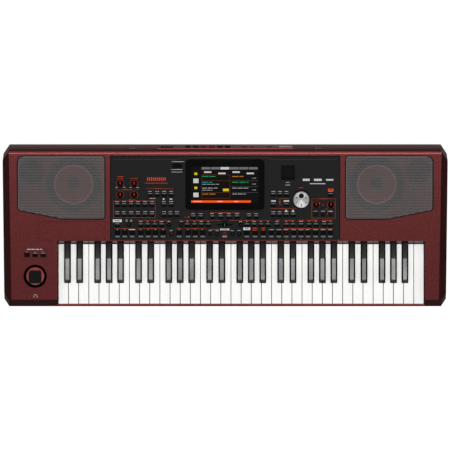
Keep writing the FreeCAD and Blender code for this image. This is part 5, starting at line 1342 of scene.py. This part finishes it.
class KEYBOARD_OT_stage(bpy.types.Operator):
    """Set the white floor, the lamps and the camera"""
    bl_idname = "keyboard.stage"
    bl_label = "Stage"

    def execute(self, context):
        scene = context.scene
        stage = scene.keyboard_stage
        scene.view_settings.view_transform = "Standard"
        self.lay_floor()
        world = bpy.data.worlds.new("studio")
        world.use_nodes = True
        scene.world = world
        fill(world.node_tree, world.node_tree.nodes["Background"], Color=(1, 1, 1, 1), Strength=0.18)
        aim = Vector((0, 0, 0.1))
        # Place, size and power
        lamps = {
            "top_softbox": ((0, -0.11, 3.0), (2.4, 0.3), 22),
            "rear_lamp": ((0, 2.2, 2.4), (1.15, 0.9), 15),
            "left_lamp": ((-2.0, 0.2, 1.7), (0.8, 1.6), 8.5),
            "right_lamp": ((2.0, 0.2, 1.7), (0.8, 1.6), 8.5),
            "front_lamp": ((0, -2.2, 2.3), (2.4, 0.9), 38),
        }
        for name, (place, size, power) in lamps.items():
            lamp = self.hang_lamp(name, place, size, power * stage.lamp_share)
            lamp.rotation_euler = (aim - Vector(place)).to_track_quat("-Z", "Y").to_euler()
        self.light_keys(stage)
        data = bpy.data.cameras.new("camera")
        data.sensor_width = 36
        distance = stage.camera_height - stage.seen_height
        data.lens = data.sensor_width * distance / stage.frame_width
        data.clip_end = 100
        camera = link("camera", data)
        camera.location = (-0.35 * MM, 0.42 * MM, stage.camera_height)
        scene.camera = camera
        return {"FINISHED"}

    def lay_floor(self):
        """A wide floor just under the feet."""
        bm = bmesh.new()
        bmesh.ops.create_grid(bm, x_segments=1, y_segments=1, size=8)
        floor = link("floor", meshed("floor", bm))
        floor.location.z = -0.0005
        white_floor()
        coat(floor.data, "white_floor")

    def hang_lamp(self, name, place, size, power):
        """A rectangular lamp that the camera doesn't see, facing down."""
        data = bpy.data.lights.new(name, "AREA")
        data.shape = "RECTANGLE"
        data.size, data.size_y = size
        data.energy = power
        lamp = link(name, data)
        lamp.location = place
        lamp.visible_camera = False
        return lamp

    def light_keys(self, stage):
        """A strip lamp close over the rear of the white keys, which lights nothing else."""
        keys = bpy.data.collections.new("white_key_light")
        for piece in bpy.data.objects:
            if piece.type == "MESH" and piece.name.startswith("keys_") and "black" not in piece.name:
                keys.objects.link(piece)
        lamp = self.hang_lamp("key_lamp", (0.037, -0.05, 0.14), (1.0, 0.02), 0.08 * stage.lamp_share)
        lamp.light_linking.receiver_collection = keys
        lamp.light_linking.blocker_collection = keys


STEPS = (
    KEYBOARD_OT_finishes, KEYBOARD_OT_case, KEYBOARD_OT_grilles, KEYBOARD_OT_speakers, KEYBOARD_OT_legends,
    KEYBOARD_OT_display, KEYBOARD_OT_buttons, KEYBOARD_OT_turners, KEYBOARD_OT_joystick, KEYBOARD_OT_keys,
    KEYBOARD_OT_sockets, KEYBOARD_OT_inside, KEYBOARD_OT_underside, KEYBOARD_OT_stage,
)
GROUPS = {
    "keyboard_colours": KEYBOARD_PG_colours,
    "keyboard_sizes": KEYBOARD_PG_sizes,
    "keyboard_stage": KEYBOARD_PG_stage,
}


class KEYBOARD_PT_panel(bpy.types.Panel):
    """Sidebar panel of the keyboard dresser"""
    bl_label = "Keyboard"
    bl_space_type = "VIEW_3D"
    bl_region_type = "UI"
    bl_category = "Keyboard"

    def draw(self, context):
        layout = self.layout
        for name, group in GROUPS.items():
            box = layout.box()
            for setting in group.__annotations__:
                box.prop(getattr(context.scene, name), setting)
        for step in STEPS:
            layout.operator(step.bl_idname)


CLASSES = (*GROUPS.values(), *STEPS, KEYBOARD_PT_panel)


def register():
    for cls in CLASSES:
        bpy.utils.register_class(cls)
    for name, group in GROUPS.items():
        setattr(bpy.types.Scene, name, PointerProperty(type=group))


def unregister():
    for name in GROUPS:
        delattr(bpy.types.Scene, name)
    for cls in reversed(CLASSES):
        bpy.utils.unregister_class(cls)


def main():
    register()
    for step in STEPS:
        area, name = step.bl_idname.split(".")
        getattr(getattr(bpy.ops, area), name)()


if __name__ == "__main__":
    main()
